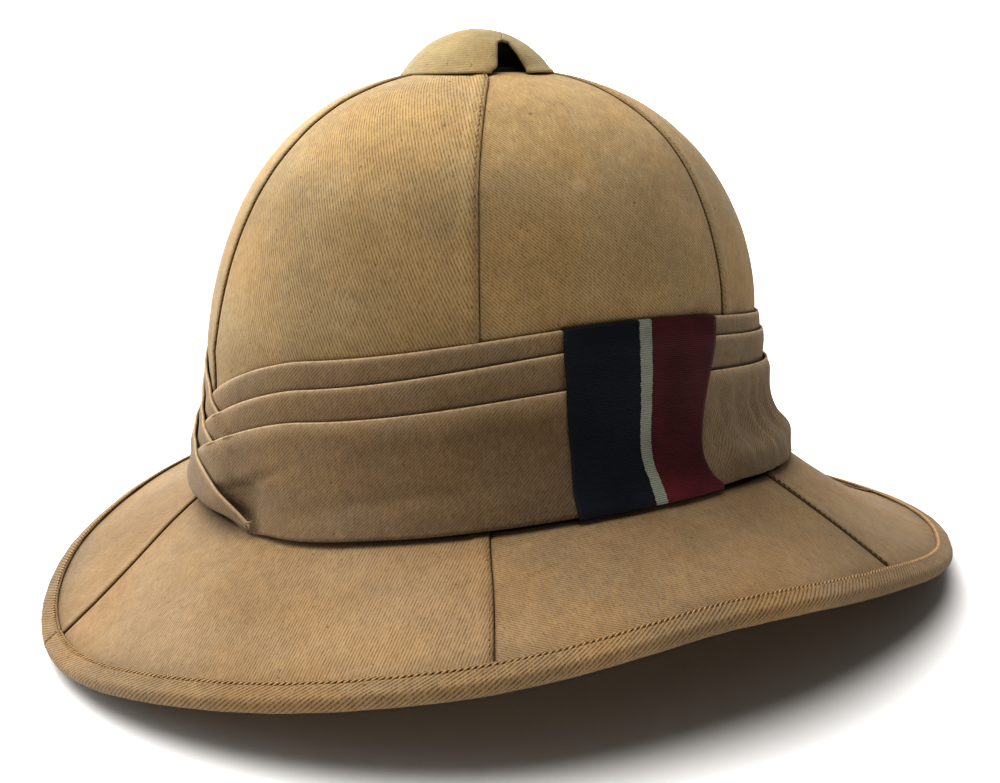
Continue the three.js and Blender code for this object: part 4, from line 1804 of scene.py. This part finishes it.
@dataclass
class Stitching:
    """Rows of thread stitches, each stitch a small bead on the surface."""

    form: HelmetForm
    binding: Binding
    shell: ClothShell

    def stitch(self, thread: Thread, azimuth: float, row: float, height: float, along: Vector) -> Matrix:
        """The place of one stitch.

        Args:
            thread: Its kind.
            azimuth: Its place round the head.
            row: Its row of the form.
            height: Millimetres off the form.
            along: Unit vector along the seam.

        Returns:
            What carries a ball of radius 1 to the stitch.
        """
        up = self.form.outward(azimuth, row)
        turn = math.radians(thread.slant + 5 * noise.noise(Vector((azimuth * 1.7, row * 90, 0.3))))
        along = (along * math.cos(turn) + up.cross(along).normalized() * math.sin(turn)).normalized()
        side = up.cross(along).normalized()
        frame = Matrix((along, side, up)).transposed().to_4x4()
        half = thread.thick / 2
        size = Matrix.Diagonal((thread.length / 2 * MM, half * MM, half * MM, 1))
        return Matrix.Translation(self.form.off(azimuth, row, height)) @ frame @ size

    def seam_row(self, thread: Thread, number: int, beside: float, top: float, bottom: float) -> list[Matrix]:
        """A row of stitches beside a seam, down from one row of the form to another.

        Args:
            thread: Their kind.
            number: The seam's number.
            beside: Millimetres from the seam, towards larger azimuths.
            top: The row where they start.
            bottom: The row where they end.

        Returns:
            The stitches' places.
        """
        places: list[Matrix] = []
        walked = 0.0
        steps = 1200
        before = self.form.surface(seam_azimuth(number, top), top)
        for i in range(1, steps + 1):
            row = lerp(top, bottom, i / steps)
            seam = seam_azimuth(number, row)
            here = self.form.surface(seam, row)
            walked += (here - before).length
            along = (here - before).normalized()
            before = here
            if walked < thread.pitch:
                continue
            walked = 0.0
            azimuth = seam + self.form.degrees(beside, seam, row)
            places.append(self.stitch(thread, azimuth, row, self.shell.lap_height + 0.08, along))
        return places

    def rope_row(self) -> list[Matrix]:
        """The slanted stitches of the binding, all round the brim.

        Returns:
            The stitches' places.
        """
        places: list[Matrix] = []
        azimuth = 0.0
        while azimuth < 360 - 0.5 * self.form.degrees(ROPE.pitch, azimuth, 3):
            row = self.form.row_from_edge(azimuth, self.binding.width - self.binding.stitch_in)
            height = self.form.clearance + self.binding.cloth - 0.05
            places.append(self.stitch(ROPE, azimuth, row, height, self.form.around(azimuth, row)))
            azimuth += self.form.degrees(ROPE.pitch, azimuth, row)
        return places

    def sew(self, name: str, places: list[Matrix], thread: PlainFinish, slot: str) -> None:
        """Makes one piece of many stitches, a few dozen at a time.

        Args:
            name: The piece's name.
            places: The stitches' places.
            thread: Their finish.
            slot: The record's material slot.
        """
        whole = bmesh.new()
        batch = 40
        for first in range(0, len(places), batch):
            bm = bmesh.new()
            for place in places[first : first + batch]:
                bmesh.ops.create_uvsphere(bm, u_segments=6, v_segments=5, radius=1, matrix=place)
            part = bpy.data.meshes.new("batch")
            bm.to_mesh(part)
            bm.free()
            whole.from_mesh(part)
            bpy.data.meshes.remove(part)
        for face in whole.faces:
            face.smooth = True
        settle(object_from(name, whole), thread.make(), slot)

    def build(self) -> None:
        """Makes the seam stitches and the binding's stitches."""
        places: list[Matrix] = []
        beside = self.shell.stitch_beside
        for number, side in ((1, -1), (5, 1)):
            places += self.seam_row(FELL, number, beside * side, 0.02, 0.995)
        for number, side in ((2, 1), (3, 1), (4, -1)):
            places += self.seam_row(SINK, number, beside * side, 0.02, 0.995)
        for number, side in ((1, -1), (3, 1), (5, 1)):
            places += self.seam_row(SINK, number, beside * side, 2.08, 2.88)
        dark = [*self.seam_row(FELL, 2, 0.3, 2.04, 2.9), *self.seam_row(FELL, 4, -0.3, 2.04, 2.9)]
        thread = PlainFinish("dark_thread", (0.1, 0.062, 0.03, 1), roughness=0.75, grain=3000, depth=0.03)
        self.sew("lap_stitches", dark, thread, "drill")
        thread = PlainFinish("khaki_thread", (0.31, 0.2, 0.092, 1), roughness=0.75, grain=3000, depth=0.03)
        self.sew("seam_stitches", places, thread, "drill")
        thread = PlainFinish("binding_thread", (0.42, 0.275, 0.13, 1), roughness=0.75, grain=3000, depth=0.03)
        self.sew("binding_stitches", self.rope_row(), thread, "drill_binding")


@dataclass
class Studio:
    """The floor, the lights and the camera, placed as the photograph's."""

    form: HelmetForm
    azimuth: float = 64.65
    elevation: float = 15.15
    distance: float = 490
    focal_pixels: float = 1300
    frame_width: float = 1000
    frame_height: float = 783
    aim: tuple[float, float] = (482.2, 448.2)
    roll: float = 1.245
    fitted_back: float = 9
    dim: float = 0.12
    bright: float = 2.3
    bright_left: float = 0.9
    key_left: float = 0.25
    key_back: float = 0.1
    key_energy: float = 2.6
    key_angle: float = 60

    def camera(self) -> None:
        """Makes the camera: it looks at the crown's axis, which falls on the aim pixel."""
        a, e = math.radians(self.azimuth), math.radians(self.elevation)
        back = Vector((math.sin(a) * math.cos(e), -math.cos(a) * math.cos(e), math.sin(e)))
        right = Vector((math.cos(a), math.sin(a), 0))
        up = back.cross(right)
        view = Matrix((right, up, back))
        level = Matrix.Rotation(math.radians(self.roll), 3, "Z")
        ray = Vector(
            (
                (self.aim[0] - self.frame_width / 2) / self.focal_pixels,
                (self.frame_height / 2 - self.aim[1]) / self.focal_pixels,
                -1,
            )
        )
        swing = Vector((0, 0, -1)).rotation_difference(ray).to_matrix()
        turn = (swing @ level @ view).transposed().to_4x4()
        data = bpy.data.cameras.new("camera")
        data.sensor_width = 36
        data.lens = self.focal_pixels / self.frame_width * data.sensor_width
        data.clip_start = 0.01
        cam = bpy.data.objects.new("camera", data)
        target = self.form.placed(Vector((0, -self.fitted_back, 0)))
        cam.matrix_world = Matrix.Translation(target + back * (self.distance * MM)) @ turn
        bpy.context.scene.collection.objects.link(cam)
        bpy.context.scene.camera = cam

    def key_light(self, direction: Vector) -> None:
        """The large soft light overhead.

        Args:
            direction: Where it comes from.
        """
        data = bpy.data.lights.new("key_light", "SUN")
        data.angle = math.radians(self.key_angle)
        data.energy = self.key_energy
        data.color = (1.0, 0.985, 0.955)
        lamp = bpy.data.objects.new("key_light", data)
        lamp.rotation_euler = (-direction).to_track_quat("-Z", "Y").to_euler()
        bpy.context.scene.collection.objects.link(lamp)

    def floor(self) -> None:
        """A wide pale floor."""
        bm = bmesh.new()
        bmesh.ops.create_grid(bm, x_segments=1, y_segments=1, size=9)
        floor = object_from("floor", bm)
        paint = PlainFinish("floor_paint", (0.9, 0.9, 0.9, 1), grain=30, depth=0.0, mottle=0.01)
        floor.data.materials.append(paint.make())

    def surround(self, bright: Vector) -> None:
        """A soft white surround, brightest in one direction.

        Args:
            bright: The direction where it is brightest.
        """
        world = bpy.data.worlds.new("studio")
        bpy.context.scene.world = world
        world.use_nodes = True
        tree = world.node_tree
        coordinates = tree.nodes.new("ShaderNodeTexCoord")
        towards = tree.nodes.new("ShaderNodeVectorMath")
        towards.operation = "DOT_PRODUCT"
        towards.inputs[1].default_value = bright.normalized()
        strength = tree.nodes.new("ShaderNodeMapRange")
        strength.interpolation_type = "SMOOTHSTEP"
        strength.inputs["From Min"].default_value = 0.1
        strength.inputs["From Max"].default_value = 0.8
        strength.inputs["To Min"].default_value = self.dim
        strength.inputs["To Max"].default_value = self.bright
        sky = tree.nodes["Background"]
        sky.inputs["Color"].default_value = (0.97, 0.98, 1.0, 1)
        tree.links.new(coordinates.outputs["Generated"], towards.inputs[0])
        tree.links.new(towards.outputs["Value"], strength.inputs["Value"])
        tree.links.new(strength.outputs["Result"], sky.inputs["Strength"])

    def build(self) -> None:
        """Makes the whole studio."""
        self.floor()
        self.camera()
        bpy.context.scene.view_settings.view_transform = "Standard"
        bpy.context.scene.view_settings.look = "High Contrast"
        a = math.radians(self.azimuth)
        left = Vector((-math.cos(a), -math.sin(a), 0))
        near = Vector((math.sin(a), -math.cos(a), 0))
        self.surround(left * self.bright_left - near)
        self.key_light(left * self.key_left - near * self.key_back + Vector((0, 0, 1)))


def main() -> None:
    """Builds the helmet and its studio."""
    logging.basicConfig(level=logging.INFO, format="%(name)s: %(message)s")
    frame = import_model()
    form = HelmetForm().fitted()
    LOG.info("form shifted by %.2f and %.2f mm", *form.shift)
    band = WoundBand(form)
    shell = ClothShell(form)
    binding = Binding(form)
    CorkBody(form).build()
    shell.build()
    binding.build()
    band.build()
    RibbonFlash(form, band).build()
    Ventilator(form).build()
    Stitching(form, binding, shell).build()
    collar = frame["nodes"]["ventilator_collar"]
    collar.data.materials.clear()
    lacquer = PlainFinish("lacquered_metal", (0.02, 0.022, 0.018, 1), roughness=0.55, metal=0.4)
    collar.data.materials.append(lacquer.make())
    Studio(form).build()


if __name__ == "__main__":
    main()
